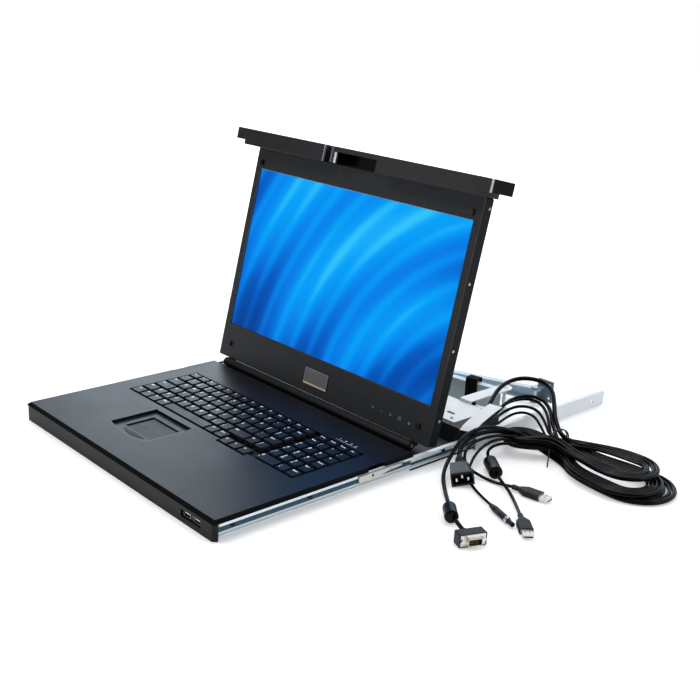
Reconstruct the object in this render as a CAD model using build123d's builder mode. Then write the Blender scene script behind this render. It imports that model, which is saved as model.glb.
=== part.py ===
"""Rackmount LCD console drawer: a keyboard deck on ball-bearing slides, with a hinged LCD lid.

Millimetres, +Z up, +X to the user's right, +Y away from the user. The origin is the middle of
the floor under the drawer and its slides, with the drawer pulled out and the lid open.
"""

import os
from math import atan2, cos, degrees, radians, sin, tan

from build123d import *

os.makedirs("parts", exist_ok=True)

# Driving dimensions: the deck
rack_face_width = 482.6  # width of a 19-inch front panel
deck_width = 420.0
deck_depth = 297.0
deck_height = 24.2  # floor to the top of the deck
deck_rim = 4.2  # height of the folded rim of the deck plate
deck_bevel = 4.0
sheet = 1.5  # deck, chassis and plate steel
pan_sheet = 1.2
pan_floor = 4.0
panel_thickness = 6.0
seat_gap = 0.3  # between neighbouring pieces that aren't clamped together
screw_gap = 0.1  # between pieces that are screwed together

# The slides
drawer_travel = 398.0
slide_reach = 405.0  # front of the outer slide members, behind the front face
outer_length = 280.0
inner_length = 535.0
inner_height = 13.0
inner_width = 6.0
inner_web = 1.5
slide_flange = 1.3
outer_wall = 1.3
slide_seat = 207.0  # middle of the drawer to the back of an inner slide
ball_diameter = 2.9
ball_groove = 3.0  # the gap that a ball runs in
ball_count = 4
ball_pitch = 18.0
cage_sheet = 0.8
cage_setback = 6.0
web_gap = 0.9  # between the inner slide's lips and the cage
slide_hole = 4.5
slide_hole_pitch = 224.0

# The lid
picture_width = 409.8  # an 18.5-inch picture, 16:9
picture_height = 230.4
lid_width = 432.0
lid_thickness = 17.0
lid_tilt = 12.6  # open lid, degrees past upright
lid_chin = 50.2  # picture's lower edge to the lid's lower edge
lid_brow = 29.9  # picture's upper edge to the fascia bar
bezel_thickness = 2.5
lid_wall = 1.6
hinge_back = 310.0  # hinge axis behind the front face
hinge_rise = 0.5  # hinge axis above the deck
hinge_radius = 6.0
barrel_span = 372.0  # length of the fixed barrel
knuckle_width = 6.6
pin_diameter = 4.4
running_gap = 0.05  # radial clearance of a pin in its bore
face_setback = 2.24  # the lid's face behind the hinge axis
chin_gap = 6.2  # hinge axis to the lid's lower edge
bar_thickness = 22.5
bar_reach = 25.0  # the bar in front of the lid's face
bar_depth = 42.3

# The rear chassis and the cable arm
rear_depth = 460.0
rear_height = 34.2
step_front = 370.0  # where the chassis rises behind the lid
step_back = 384.0
low_height = 18.5
plate_front = 394.0
plate_half = 187.0
arm_low = 5.5
arm_height = 31.0
outer_arm_height = 18.0
arm_depth = 12.0
arm_sheet = 1.2
arm_length = 300.0
arm_turn = 192.0  # direction of the inner arm from its pivot, degrees
arm_pivot_x = 147.0
arm_pivot_y = 543.0
end_pivot_x = 155.0
end_pivot_y = 604.0
arm_pin = 5.0
knuckle_radius = 7.0

# Places that follow from the dimensions
overall_length = slide_reach + outer_length
front = -overall_length / 2  # y of the front panel's face
rim_low = deck_height - deck_rim
deck_under = deck_height - sheet
rail_top = rim_low - 0.2
rail_low = rail_top - inner_height
rail_out = slide_seat + inner_width
pan_half = slide_seat - screw_gap
hinge_y = front + hinge_back
hinge_z = deck_height + hinge_rise
tilt = radians(lid_tilt)

# The lid's own plane: X across, Y up the picture, Z out of its face, origin on the hinge axis
lid = Plane(origin=(0, hinge_y, hinge_z), x_dir=(1, 0, 0), z_dir=(0, -cos(tilt), sin(tilt)))
lid_face = -face_setback
lid_back = lid_face - lid_thickness
lid_foot = chin_gap
picture_foot = lid_foot + lid_chin
lid_head = picture_foot + picture_height + lid_brow
lid_middle = (lid_foot + lid_head) / 2
up = (Align.CENTER, Align.MIN)


def write(piece, name):
    """Labels a finished piece and writes it as its own STEP file."""
    piece.part.label = name
    export_step(piece.part, f"parts/{name}.step")


def level(height):
    """A horizontal sketch plane at a height above the floor."""
    return Plane.XY.offset(height)


def facing(back):
    """An upright sketch plane that faces the user, some way behind the front face."""
    return Plane(origin=(0, front + back, 0), x_dir=(1, 0, 0), z_dir=(0, -1, 0))


def sideways(x):
    """An upright sketch plane that faces the right, with its X pointing to the back."""
    return Plane(origin=(x, front, 0), x_dir=(0, 1, 0), z_dir=(1, 0, 0))


# Keyboard layout: rows from the back, each a list of key widths in units, from the left
key_unit = 19.05
key_gap = 3.0
function_row_depth = 15.2
well_left = -175.0
well_front = 134.0
well_units = 14
well_margin = 1.0
pad_left = 100.6
pad_unit = 18.6
pad_columns = 4
arrow_unit = 18.4
arrow_drop = 7.0  # the arrow keys stand this far in front of the rest
key_rise = 0.7  # cap above the deck
cap_height = 4.6
cap_taper = 12.0
key_travel = 2.2
stem = 3.2
guide_clearance = 0.15
base_thickness = 2.0
base_margin = 4.0
base_rim = 1.5
space_bar_units = 4.9
key_rows = [
    ("keys_function_row", [1] * 14),
    ("keys_number_row", [1] * 14),
    ("keys_main_rows", [1.4] + [1] * 12 + [0.6]),
    ("keys_main_rows", [1.7] + [1] * 11 + [1.3]),
    ("keys_main_rows", [1.2] + [1] * 9 + [1.87, 0.965, 0.965]),
    ("keys_main_rows", [1.1, 1, 1, 1]),
]
well_depth = function_row_depth + 5 * key_unit
well_right = well_left + well_units * key_unit
pad_right = pad_left + pad_columns * pad_unit
cap_top = deck_height + key_rise
cap_low = cap_top - cap_height
base_top = cap_low - key_travel - seat_gap
stem_low = base_top - base_thickness - 1.0


def row_of_caps(left, middle, widths, depth):
    """(x, y, width, depth) of each cap of one row, with y measured from the front face."""
    caps = []
    for width in widths:
        caps.append((left + width / 2, middle, width, depth))
        left += width
    return caps


def key_groups():
    """The caps of each key group."""
    groups = {}
    back = well_front + well_depth
    for name, units in key_rows:
        depth = function_row_depth if name == "keys_function_row" else key_unit
        widths = [unit * key_unit for unit in units]
        groups.setdefault(name, [])
        groups[name] += row_of_caps(well_left, back - depth / 2, widths, depth)
        back -= depth
    bottom = well_front + key_unit / 2
    bar_left = well_left + sum(key_rows[-1][1]) * key_unit
    bar_width = space_bar_units * key_unit
    groups["space_bar"] = row_of_caps(bar_left, bottom, [bar_width], key_unit)
    right_of_bar = row_of_caps(bar_left + bar_width, bottom, [key_unit] * 2, key_unit)
    groups["keys_main_rows"] += right_of_bar
    arrow_left = well_right - 3 * arrow_unit
    groups["keys_arrows"] = row_of_caps(arrow_left, bottom - arrow_drop, [arrow_unit] * 3, key_unit)
    pad = []
    for row in range(6):
        depth = function_row_depth if row == 5 else key_unit
        widths = [2 * pad_unit, pad_unit, pad_unit] if row == 0 else [pad_unit] * pad_columns
        pad += row_of_caps(pad_left, well_front + row * key_unit + depth / 2, widths, depth)
    groups["keys_number_pad"] = pad
    return groups


keys = key_groups()

# Pointer recess, its touchpad window and the lens-shaped slot for its two buttons
recess_left, recess_right = -90.5, -9.5
recess_front, recess_back = 55.0, 122.5
recess_bulge = 5.0
recess_drop = 1.6
recess_sheet = 1.2
recess_flange = 4.0
touch_left, touch_right = -76.0, -17.5
touch_front, touch_back = 67.0, 109.5
touch_thickness = 1.6
touch_middle = (touch_left + touch_right) / 2
slot_half = 24.0
slot_line = 63.0
slot_bow = 7.5
button_clearance = 0.4
button_skirt = 1.2
button_rise = 0.4
button_travel = 0.8
recess_floor = deck_under - seat_gap - recess_drop
recess_under = recess_floor - recess_sheet
touch_top = recess_under - seat_gap


def recess_outline(grow):
    """Outline of the pointer recess: straight at the back and sides, bowed at the front."""
    left, right = recess_left - grow, recess_right + grow
    near, far = front + recess_front, front + recess_back + grow
    Polyline((left, near), (left, far), (right, far), (right, near))
    middle = ((left + right) / 2, near - recess_bulge - grow)
    ThreePointArc((right, near), middle, (left, near))


def button_outline(inset):
    """Outline of the button slot: a flat back edge and a bowed front edge."""
    start = (touch_middle - slot_half + 4 * inset, front + slot_line - inset)
    end = (touch_middle + slot_half - 4 * inset, front + slot_line - inset)
    Line(start, end)
    ThreePointArc(end, (touch_middle, front + slot_line - slot_bow + inset), start)


# Deck plate: a folded tray lid with the key well, the pointer recess and two finger notches
notch_middle = 236.0
notch_length = 28.0
notch_depth = 5.0
bevel_wall = sheet * 1.55  # the sheet, measured level through the bevel
with BuildPart() as deck_plate:
    with BuildSketch(level(rim_low)):
        with Locations((0, front + deck_depth / 2)):
            Rectangle(deck_width, deck_depth)
    extrude(amount=deck_rim)
    deck_top = deck_plate.faces().sort_by(Axis.Z)[-1]
    chamfer(deck_top.edges().sort_by(Axis.Y)[:-1], deck_bevel)
    with BuildSketch(level(rim_low)):
        with Locations((0, front + deck_depth / 2)):
            Rectangle(deck_width - 2 * bevel_wall, deck_depth - 2 * bevel_wall)
    extrude(amount=deck_rim - sheet, taper=45, mode=Mode.SUBTRACT)
    with BuildSketch(level(rim_low)):
        with Locations(((well_left + pad_right) / 2, front + well_front + well_depth / 2)):
            Rectangle(pad_right - well_left + 2 * well_margin, well_depth + 2 * well_margin)
        with Locations((well_right - 1.5 * arrow_unit, front + well_front)):
            Rectangle(3 * arrow_unit + 2 * well_margin, 2 * (arrow_drop + well_margin))
        with BuildLine():
            recess_outline(0)
        make_face()
        with Locations((-deck_width / 2, front + notch_middle), (deck_width / 2, front + notch_middle)):
            SlotOverall(notch_length, 2 * notch_depth, rotation=90)
    extrude(amount=deck_rim, mode=Mode.SUBTRACT)
write(deck_plate, "deck_plate")

# Key caps: tapered blocks, each on a stem that runs in a guide of the keyboard base
for group, caps in keys.items():
    with BuildPart() as key_group:
        for x, y, width, depth in caps:
            with BuildSketch(Plane(origin=(x, front + y, cap_low))):
                Rectangle(width - key_gap, depth - key_gap)
            extrude(amount=cap_height, taper=cap_taper)
            with BuildSketch(Plane(origin=(x, front + y, stem_low))):
                Rectangle(stem, stem)
            extrude(amount=cap_low - stem_low)
    write(key_group, group)

# Keyboard base: the black floor of the well, with a square guide for each stem
base_width = pad_right - well_left + 2 * base_margin
base_depth = well_depth + 2 * base_margin
base_place = ((well_left + pad_right) / 2, front + well_front + well_depth / 2)
tongue_width = 3 * arrow_unit + 2 * base_margin
tongue_depth = 2 * (arrow_drop + base_margin)
tongue_place = (well_right - 1.5 * arrow_unit, front + well_front)
guides = [(x, front + y) for caps in keys.values() for x, y, _, _ in caps]
with BuildPart() as keyboard_base:
    with BuildSketch(level(base_top - base_thickness)):
        with Locations(base_place):
            Rectangle(base_width, base_depth)
        with Locations(tongue_place):
            Rectangle(tongue_width, tongue_depth)
        with Locations(*guides):
            Rectangle(stem + 2 * guide_clearance, stem + 2 * guide_clearance, mode=Mode.SUBTRACT)
    extrude(amount=base_thickness)
    with BuildSketch(level(base_top)):
        with Locations(base_place):
            Rectangle(base_width, base_depth)
        with Locations(tongue_place):
            Rectangle(tongue_width, tongue_depth)
        with Locations(base_place):
            Rectangle(base_width - 2 * base_rim, base_depth - 2 * base_rim, mode=Mode.SUBTRACT)
        with Locations(tongue_place):
            Rectangle(tongue_width - 2 * base_rim, tongue_depth - 2 * base_rim, mode=Mode.SUBTRACT)
    extrude(amount=deck_under - base_top)
write(keyboard_base, "keyboard_base")

# Touchpad frame: the floor of the pointer recess
frame_width = recess_right - recess_left + 2 * recess_flange
frame_depth = recess_back - recess_front + recess_bulge + 2 * recess_flange
frame_middle = (
    (recess_left + recess_right) / 2,
    front + (recess_front - recess_bulge + recess_back) / 2,
)
with BuildPart() as touchpad_frame:
    with BuildSketch(level(recess_under)):
        with Locations(frame_middle):
            Rectangle(frame_width, frame_depth)
        with Locations((touch_middle, front + (touch_front + touch_back) / 2)):
            Rectangle(touch_right - touch_left, touch_back - touch_front, mode=Mode.SUBTRACT)
        with BuildLine():
            button_outline(0)
        make_face(mode=Mode.SUBTRACT)
    extrude(amount=recess_sheet)
    with BuildSketch(level(recess_floor)):
        with Locations(frame_middle):
            Rectangle(frame_width, frame_depth)
        with BuildLine():
            recess_outline(0.6)
        make_face(mode=Mode.SUBTRACT)
    extrude(amount=recess_drop)
write(touchpad_frame, "touchpad_frame")

with BuildPart() as touchpad_plate:
    with BuildSketch(level(touch_top - touch_thickness)):
        with Locations((touch_middle, front + (touch_front + touch_back) / 2)):
            Rectangle(touch_right - touch_left + 3, touch_back - touch_front + 3)
    extrude(amount=touch_thickness)
write(touchpad_plate, "touchpad_plate")

# Touchpad buttons: two halves of one lens, split down the middle
for side, name in ((-1, "touchpad_button_left"), (1, "touchpad_button_right")):
    with BuildPart() as touchpad_button:
        with BuildSketch(level(recess_under - button_skirt)):
            with BuildLine():
                button_outline(button_clearance)
            make_face()
            with Locations((touch_middle - side * (slot_half - button_clearance / 2), front + slot_line)):
                Rectangle(2 * slot_half, 4 * slot_bow, mode=Mode.SUBTRACT)
        extrude(amount=button_skirt + recess_sheet + button_rise)
    write(touchpad_button, name)

# Front panel: stands under the deck's bevel, with bevelled corners and the USB opening
usb_middle = 167.0
usb_width = 40.0
usb_height = 12.4
usb_level = 11.0
usb_wall = 1.7
socket_pitch = 18.0
socket_width, socket_height = 13.2, 5.8
socket_depth = 14.0
socket_setback = 2.2
socket_wall = 0.5
board_sheet = 1.3
socket_places = [(usb_middle + side * socket_pitch / 2, usb_level) for side in (-1, 1)]
with BuildPart() as front_panel:
    with BuildSketch(level(0)):
        with Locations((0, front + panel_thickness / 2)):
            Rectangle(deck_width, panel_thickness)
    extrude(amount=rim_low)
    chamfer(front_panel.edges().filter_by(Axis.Z).group_by(Axis.Y)[0], deck_bevel)
    with BuildSketch(facing(0)):
        with Locations((usb_middle, usb_level)):
            RectangleRounded(usb_width, usb_height, 2.4)
    extrude(amount=-panel_thickness, mode=Mode.SUBTRACT)
write(front_panel, "front_panel")

with BuildPart() as usb_insert:
    with BuildSketch(facing(0)):
        with Locations((usb_middle, usb_level)):
            RectangleRounded(usb_width - 2 * screw_gap, usb_height - 2 * screw_gap, 2.3)
            Rectangle(usb_width - 2 * usb_wall, usb_height - 2 * usb_wall, mode=Mode.SUBTRACT)
    extrude(amount=-panel_thickness)
    with BuildSketch(facing(socket_setback)):
        with Locations((usb_middle, usb_level)):
            Rectangle(usb_width - 2 * usb_wall, usb_height - 2 * usb_wall)
        with Locations(*socket_places):
            Rectangle(socket_width + 2 * screw_gap, socket_height + 2 * screw_gap, mode=Mode.SUBTRACT)
    extrude(amount=-sheet)
write(usb_insert, "usb_insert")

# USB sockets: steel shells on their board, open at the front, each with its tongue
tongue_inset = 1.2
with BuildPart() as usb_sockets:
    with BuildSketch(facing(socket_setback)):
        with Locations(*socket_places):
            Rectangle(socket_width, socket_height)
    extrude(amount=-socket_depth)
    with BuildSketch(facing(socket_setback)):
        with Locations(*socket_places):
            Rectangle(socket_width - 2 * socket_wall, socket_height - 2 * socket_wall)
    extrude(amount=-(socket_depth - sheet), mode=Mode.SUBTRACT)
    with BuildSketch(facing(socket_setback + 1.0)):
        with Locations(*((x, z + 1.1) for x, z in socket_places)):
            Rectangle(socket_width - 2 * socket_wall - 2 * tongue_inset, 1.5)
    extrude(amount=-(socket_depth - 1.0 - sheet / 2))
    with BuildSketch(level(usb_level - socket_height / 2 - board_sheet)):
        with Locations((usb_middle, front + panel_thickness + screw_gap + 11)):
            Rectangle(usb_width + 6, 22)
    extrude(amount=board_sheet)
write(usb_sockets, "usb_sockets")

# Tray pan: the folded steel tray under the deck that the inner slides are screwed to
pan_front = panel_thickness + screw_gap
pan_back = deck_depth - screw_gap
pan_height = rim_low + 0.3 - pan_floor
pan_end_height = 14.0
with BuildPart() as tray_pan:
    with BuildSketch(facing(pan_front)):
        with Locations((0, pan_floor)):
            Rectangle(2 * pan_half, pan_height, align=up)
        with Locations((0, pan_floor + pan_sheet)):
            Rectangle(2 * (pan_half - pan_sheet), pan_height, align=up, mode=Mode.SUBTRACT)
    extrude(amount=-(pan_back - pan_front))
    for y in (pan_front, pan_back - pan_sheet):
        with BuildSketch(facing(y)):
            with Locations((0, pan_floor)):
                Rectangle(2 * pan_half, pan_end_height, align=up)
        extrude(amount=-pan_sheet)
    with BuildSketch(facing(pan_front)):
        with Locations((usb_middle, usb_level)):
            Rectangle(usb_width + 8, usb_height)
    extrude(amount=-pan_sheet, mode=Mode.SUBTRACT)
write(tray_pan, "tray_pan")

# Hinge: the fixed barrel on its foot, and a steel pin at each end
barrel_foot = 8.0
pin_grip = 36.0
pin_end = barrel_span / 2 + knuckle_width + 1.4
with BuildPart() as hinge_barrel:
    with BuildSketch(sideways(-barrel_span / 2)):
        with Locations((hinge_back, low_height)):
            Rectangle(barrel_foot, hinge_z - low_height, align=up)
        with Locations((hinge_back, hinge_z)):
            Circle(hinge_radius)
            Circle(pin_diameter / 2 + running_gap, mode=Mode.SUBTRACT)
    extrude(amount=barrel_span)
write(hinge_barrel, "hinge_barrel")

with BuildPart() as hinge_pins:
    for side in (-1, 1):
        with BuildSketch(sideways(side * (barrel_span / 2 - pin_grip))):
            with Locations((hinge_back, hinge_z)):
                Circle(pin_diameter / 2)
        extrude(amount=side * (pin_grip + knuckle_width + 1.4))
write(hinge_pins, "hinge_pins")

# Rear chassis: a pan behind the deck that steps up to full height behind the lid
chassis_front = deck_depth + screw_gap
with BuildPart() as rear_chassis:
    with BuildSketch(sideways(-pan_half)):
        with BuildLine():
            Polyline(
                (chassis_front, 0),
                (rear_depth, 0),
                (rear_depth, rear_height - sheet),
                (step_back, rear_height - sheet),
                (step_front, low_height - sheet),
                (chassis_front, low_height - sheet),
                close=True,
            )
        make_face()
    extrude(amount=2 * pan_half)
    with BuildSketch(level(sheet)):
        with Locations((0, front + (chassis_front + rear_depth) / 2)):
            Rectangle(2 * (pan_half - sheet), rear_depth - chassis_front - 2 * sheet)
    extrude(amount=rear_height, mode=Mode.SUBTRACT)
    with BuildSketch(level(rear_height - sheet)):
        for side in (-1, 1):
            with Locations((side * (plate_half + pan_half + seat_gap) / 2, front + (plate_front + rear_depth) / 2)):
                Rectangle(pan_half - plate_half - seat_gap, rear_depth - plate_front)
    extrude(amount=sheet)
write(rear_chassis, "rear_chassis")

with BuildPart() as chassis_cover:
    with BuildSketch(sideways(-pan_half)):
        with BuildLine():
            Polyline(
                (chassis_front, low_height - sheet),
                (step_front, low_height - sheet),
                (step_back, rear_height - sheet),
                (plate_front - seat_gap, rear_height - sheet),
                (plate_front - seat_gap, rear_height),
                (step_back - 0.6, rear_height),
                (step_front - 0.6, low_height),
                (chassis_front, low_height),
                close=True,
            )
        make_face()
    extrude(amount=2 * pan_half)
write(chassis_cover, "chassis_cover")

# Rear plate: bright steel lid of the rear box, with a keyhole slot and screw holes
with BuildPart() as rear_plate:
    with BuildSketch(level(rear_height - sheet)):
        with Locations((0, front + (plate_front + rear_depth) / 2)):
            Rectangle(2 * plate_half, rear_depth - plate_front)
        for x in (-plate_half + 12, 0, plate_half - 12):
            with Locations((x, front + plate_front + 9)):
                Circle(1.7, mode=Mode.SUBTRACT)
        with Locations((plate_half - 26, front + plate_front + 22), (-plate_half + 26, front + plate_front + 22)):
            SlotOverall(14, 5, mode=Mode.SUBTRACT)
    extrude(amount=sheet)
write(rear_plate, "rear_plate")

# Main board and power module on the chassis floor
board_rise = 6.0
main_board_width, main_board_depth = 170.0, 62.0
main_board_x, main_board_y = 60.0, 422.0
with BuildPart() as main_board:
    with BuildSketch(level(sheet + board_rise)):
        with Locations((main_board_x, front + main_board_y)):
            Rectangle(main_board_width, main_board_depth)
    extrude(amount=1.6)
    with BuildSketch(level(sheet + board_rise + 1.6)):
        with Locations((main_board_x - 40, front + main_board_y + 4)):
            Rectangle(22, 22)
        with Locations((main_board_x + 30, front + main_board_y - 6)):
            Rectangle(16, 16)
        with GridLocations(44, 0, 4, 1):
            with Locations((main_board_x, front + main_board_y + main_board_depth / 2 - 7)):
                Rectangle(18, 8)
    extrude(amount=5)
    with BuildSketch(level(sheet)):
        with Locations((main_board_x, front + main_board_y)):
            with GridLocations(main_board_width - 10, main_board_depth - 10, 2, 2):
                Circle(3)
    extrude(amount=board_rise)
write(main_board, "main_board")

with BuildPart() as power_module:
    with BuildSketch(level(sheet)):
        with Locations((-110, front + 424)):
            Rectangle(130, 58)
    extrude(amount=27)
    fillet(power_module.edges().filter_by(Axis.Z), 1.5)
write(power_module, "power_module")

# Cord routes: (x, distance behind the front face, height) from the clamp into the tied hank, and
# from the hank to the plug
cord_sizes = {
    "power_cord": 6.0,
    "video_cord": 5.0,
    "usb_cord_a": 4.0,
    "usb_cord_b": 4.0,
    "slim_cord": 3.6,
}
clamp_depth = 7.0
exit_at = rear_depth + clamp_depth
leads = {
    "power_cord": [
        (178, exit_at, 24), (166, 492, 38), (158, 521, 50), (167, 547, 58), (194.5, 559, 60),
        (222, 550, 57), (241, 531, 48), (262, 508, 34), (288, 494, 20),
    ],
    "video_cord": [
        (190, exit_at, 24), (184, 497, 37), (193, 524, 45), (216, 535, 46), (241, 525, 40),
        (262, 503, 28), (290, 487, 13),
    ],
    "usb_cord_a": [
        (174, exit_at, 12), (172, 498, 25), (184, 524, 37), (210, 532, 42), (236, 522, 38),
        (259, 502, 25), (284, 478, 14),
    ],
    "usb_cord_b": [
        (184, exit_at, 12), (182, 497, 23), (194, 517, 32), (218, 523, 34), (242, 512, 28),
        (268, 494, 14),
    ],
    "slim_cord": [
        (194, exit_at, 12), (193, 493, 21), (204, 510, 28), (226, 511, 29), (248, 500, 21),
        (274, 484, 12),
    ],
}
tails = {
    "power_cord": [(248, 458, 20), (226, 425, 31), (219, 372, 26), (236, 352, 16.5)],
    "video_cord": [
        (250, 452, 27), (228, 415, 39), (225, 372, 37), (229, 340, 12), (246, 312, 5),
        (275, 285, 3), (305, 258, 8), (330, 236, 8.5), (360.3, 222.3, 8),
    ],
    "usb_cord_a": [
        (258, 458, 20), (237, 420, 29), (232, 368, 26), (248, 347, 9), (281, 351, 2.2),
        (302, 354.6, 2.2), (317.6, 358.2, 4.2),
    ],
    "usb_cord_b": [
        (284, 464, 14), (262, 436, 19), (241, 424, 17), (238, 402, 12), (256, 386, 9),
        (296, 356.5, 8.5), (330, 343, 2.2), (370.5, 307, 4.2),
    ],
    "slim_cord": [
        (262, 458, 14), (240, 425, 25), (238, 385, 18), (252, 350, 2), (285, 319.5, 2),
        (333, 300, 4),
    ],
}


def from_front(point):
    """A route point as a position: its y is given from the front face."""
    return Vector(point[0], front + point[1], point[2])


def bend_radii(points):
    """Radius of the arc at each inner point of a route, from its shorter run and its turn."""
    radii = []
    for before, here, after in zip(points, points[1:], points[2:]):
        arriving, leaving = here - before, after - here
        half_turn = radians(arriving.get_angle(leaving)) / 2
        radii.append(0.45 * min(arriving.length, leaving.length) / tan(half_turn))
    return radii


# Cable clamp: a block on the rear wall with an angled collar for each of the five cords
collar_length = 7.0
collar_wall = 1.0
with BuildPart() as cable_clamp:
    with BuildSketch(facing(rear_depth)):
        with Locations((184.5, 18)):
            RectangleRounded(33, 27, 2)
    extrude(amount=-clamp_depth)
    for name, route in leads.items():
        start, towards = from_front(route[0]), from_front(route[1])
        along = (towards - start).normalized()
        with BuildSketch(Plane(origin=start - along * 2, z_dir=along)):
            Circle(cord_sizes[name] / 2 + collar_wall)
        extrude(amount=collar_length + 2, taper=3)
write(cable_clamp, "cable_clamp")

# Inner slides: channels open to the outside, with the release lever's window and rivet
lever_start, lever_end = 205.0, 276.0
lever_pivot_y = 258.0
lever_top = rail_top - 1.0
lever_front_height = 7.4
lever_tail_height = 4.6
lever_pivot_z = lever_top - lever_tail_height / 2
lever_hole_y = 227.5
lever_sheet = 1.5
lever_inset = 1.2  # lever's outer face inside the slide's lips
rivet_radius = 1.5
slide_front = panel_thickness + 0.2
for side, name in ((1, "inner_slide_right"), (-1, "inner_slide_left")):
    with BuildPart() as inner_slide:
        with BuildSketch(facing(slide_front)):
            with Locations((side * (slide_seat + inner_width / 2), (rail_top + rail_low) / 2)):
                Rectangle(inner_width, inner_height)
            with Locations((side * (slide_seat + inner_web + inner_width / 2), (rail_top + rail_low) / 2)):
                Rectangle(inner_width, inner_height - 2 * slide_flange, mode=Mode.SUBTRACT)
        extrude(amount=-inner_length)
        with BuildSketch(sideways(side * (slide_seat + inner_web))):
            with Locations(((lever_start + lever_end) / 2, rail_top)):
                Rectangle(lever_end - lever_start + 6, 2 * slide_flange)
        extrude(amount=side * inner_width, mode=Mode.SUBTRACT)
        with BuildSketch(sideways(side * (slide_seat + inner_web))):
            with Locations((lever_pivot_y, lever_pivot_z)):
                Circle(rivet_radius)
        extrude(amount=side * (inner_width - inner_web - lever_inset + 0.6))
    write(inner_slide, name)

# Release levers: pressed plates on a rivet, with a round finger end and an open hole
for side, name in ((1, "release_lever_right"), (-1, "release_lever_left")):
    with BuildPart() as release_lever:
        with BuildSketch(sideways(side * (rail_out - lever_inset - lever_sheet))):
            with BuildLine():
                radius = lever_front_height / 2
                low = lever_top - lever_front_height
                neck = lever_top - lever_tail_height
                Line((lever_start + radius, lever_top), (lever_end, lever_top))
                Line((lever_end, lever_top), (lever_end, neck + 1.2))
                Line((lever_end, neck + 1.2), (lever_pivot_y - 6, neck))
                Line((lever_pivot_y - 6, neck), (lever_pivot_y - 18, low))
                Line((lever_pivot_y - 18, low), (lever_start + radius, low))
                ThreePointArc(
                    (lever_start + radius, low),
                    (lever_start, lever_top - radius),
                    (lever_start + radius, lever_top),
                )
            make_face()
            with Locations((lever_hole_y, lever_top - radius)):
                Circle(1.9, mode=Mode.SUBTRACT)
            with Locations((lever_pivot_y, lever_pivot_z)):
                Circle(rivet_radius + running_gap, mode=Mode.SUBTRACT)
        extrude(amount=side * lever_sheet)
    write(release_lever, name)

# Ball cages and balls, in the stretch where the slides overlap
cage_in = rail_out + web_gap
cage_lip = rail_out - 2.6
ball_x = rail_out - 1.0
ball_rise = ball_groove / 2
cage_length = ball_count * ball_pitch
cage_start = slide_reach + cage_setback
rail_middle = (rail_top + rail_low) / 2
cage_reach = inner_height / 2 + ball_rise + cage_sheet / 2
ball_places = [front + cage_start + (n + 0.5) * ball_pitch for n in range(ball_count)]
with BuildPart() as ball_cages:
    for side in (-1, 1):
        with BuildSketch(facing(cage_start)):
            with Locations((side * (cage_lip + cage_in + cage_sheet) / 2, rail_middle)):
                Rectangle(cage_in + cage_sheet - cage_lip, 2 * cage_reach)
            with Locations((side * (cage_lip + cage_in) / 2, rail_middle)):
                Rectangle(cage_in - cage_lip, 2 * (cage_reach - cage_sheet), mode=Mode.SUBTRACT)
        extrude(amount=-cage_length)
    with BuildSketch(level(rail_low - ball_groove)):
        with Locations(*((side * ball_x, y) for side in (-1, 1) for y in ball_places)):
            Circle(ball_diameter / 2 + 0.1)
    extrude(amount=inner_height + 2 * ball_groove, mode=Mode.SUBTRACT)
write(ball_cages, "ball_cages")

with BuildPart() as slide_balls:
    for side in (-1, 1):
        for z in (rail_top + ball_rise, rail_low - ball_rise):
            with Locations(*((side * ball_x, y, z) for y in ball_places)):
                Sphere(ball_diameter / 2)
write(slide_balls, "slide_balls")

# Outer slides: channels open to the inside, bolted to the rack through their webs
outer_in = cage_in + cage_sheet + 1.0
outer_out = outer_in + outer_wall
hole_middle = slide_reach + outer_length / 2
for side, name in ((1, "outer_slide_right"), (-1, "outer_slide_left")):
    with BuildPart() as outer_slide:
        with BuildSketch(facing(slide_reach)):
            inside = inner_height + 2 * ball_groove
            with Locations((side * (cage_lip + outer_out) / 2, rail_middle)):
                Rectangle(outer_out - cage_lip, inside + 2 * slide_flange)
            with Locations((side * (cage_lip + outer_in) / 2, rail_middle)):
                Rectangle(outer_in - cage_lip, inside, mode=Mode.SUBTRACT)
        extrude(amount=-outer_length)
        with BuildSketch(sideways(side * outer_in)):
            with Locations((hole_middle, rail_middle)):
                with GridLocations(slide_hole_pitch, 0, 2, 1):
                    Circle(slide_hole / 2)
        extrude(amount=side * outer_wall, mode=Mode.SUBTRACT)
    write(outer_slide, name)

# Lid: front bezel with its bevelled picture window
window_bevel = 1.2
corner = 3.0
with BuildPart() as lcd_bezel:
    with BuildSketch(lid.offset(lid_face - bezel_thickness)):
        with Locations((0, lid_middle)):
            Rectangle(lid_width, lid_head - lid_foot)
        with Locations((0, picture_foot + picture_height / 2)):
            Rectangle(picture_width, picture_height, mode=Mode.SUBTRACT)
    extrude(amount=bezel_thickness)
    bezel_face = lcd_bezel.faces().filter_by(GeomType.PLANE).sort_by(SortBy.AREA)[-2:]
    bezel_face = bezel_face.sort_by(Axis.Y)[0]
    chamfer(bezel_face.inner_wires()[0].edges(), window_bevel)
write(lcd_bezel, "lcd_bezel")

# Lid: back cover, a folded shell behind the bezel
with BuildPart() as lcd_back_cover:
    with BuildSketch(lid.offset(lid_back)):
        with Locations((0, lid_middle)):
            Rectangle(lid_width, lid_head - lid_foot)
    extrude(amount=lid_thickness - bezel_thickness)
    fillet(lcd_back_cover.faces().sort_by(Axis.Y)[-1].edges(), 2.0)
    with BuildSketch(lid.offset(lid_back + lid_wall)):
        with Locations((0, lid_middle)):
            Rectangle(lid_width - 2 * lid_wall, lid_head - lid_foot - 2 * lid_wall)
    extrude(amount=lid_thickness, mode=Mode.SUBTRACT)
write(lcd_back_cover, "lcd_back_cover")

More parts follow.
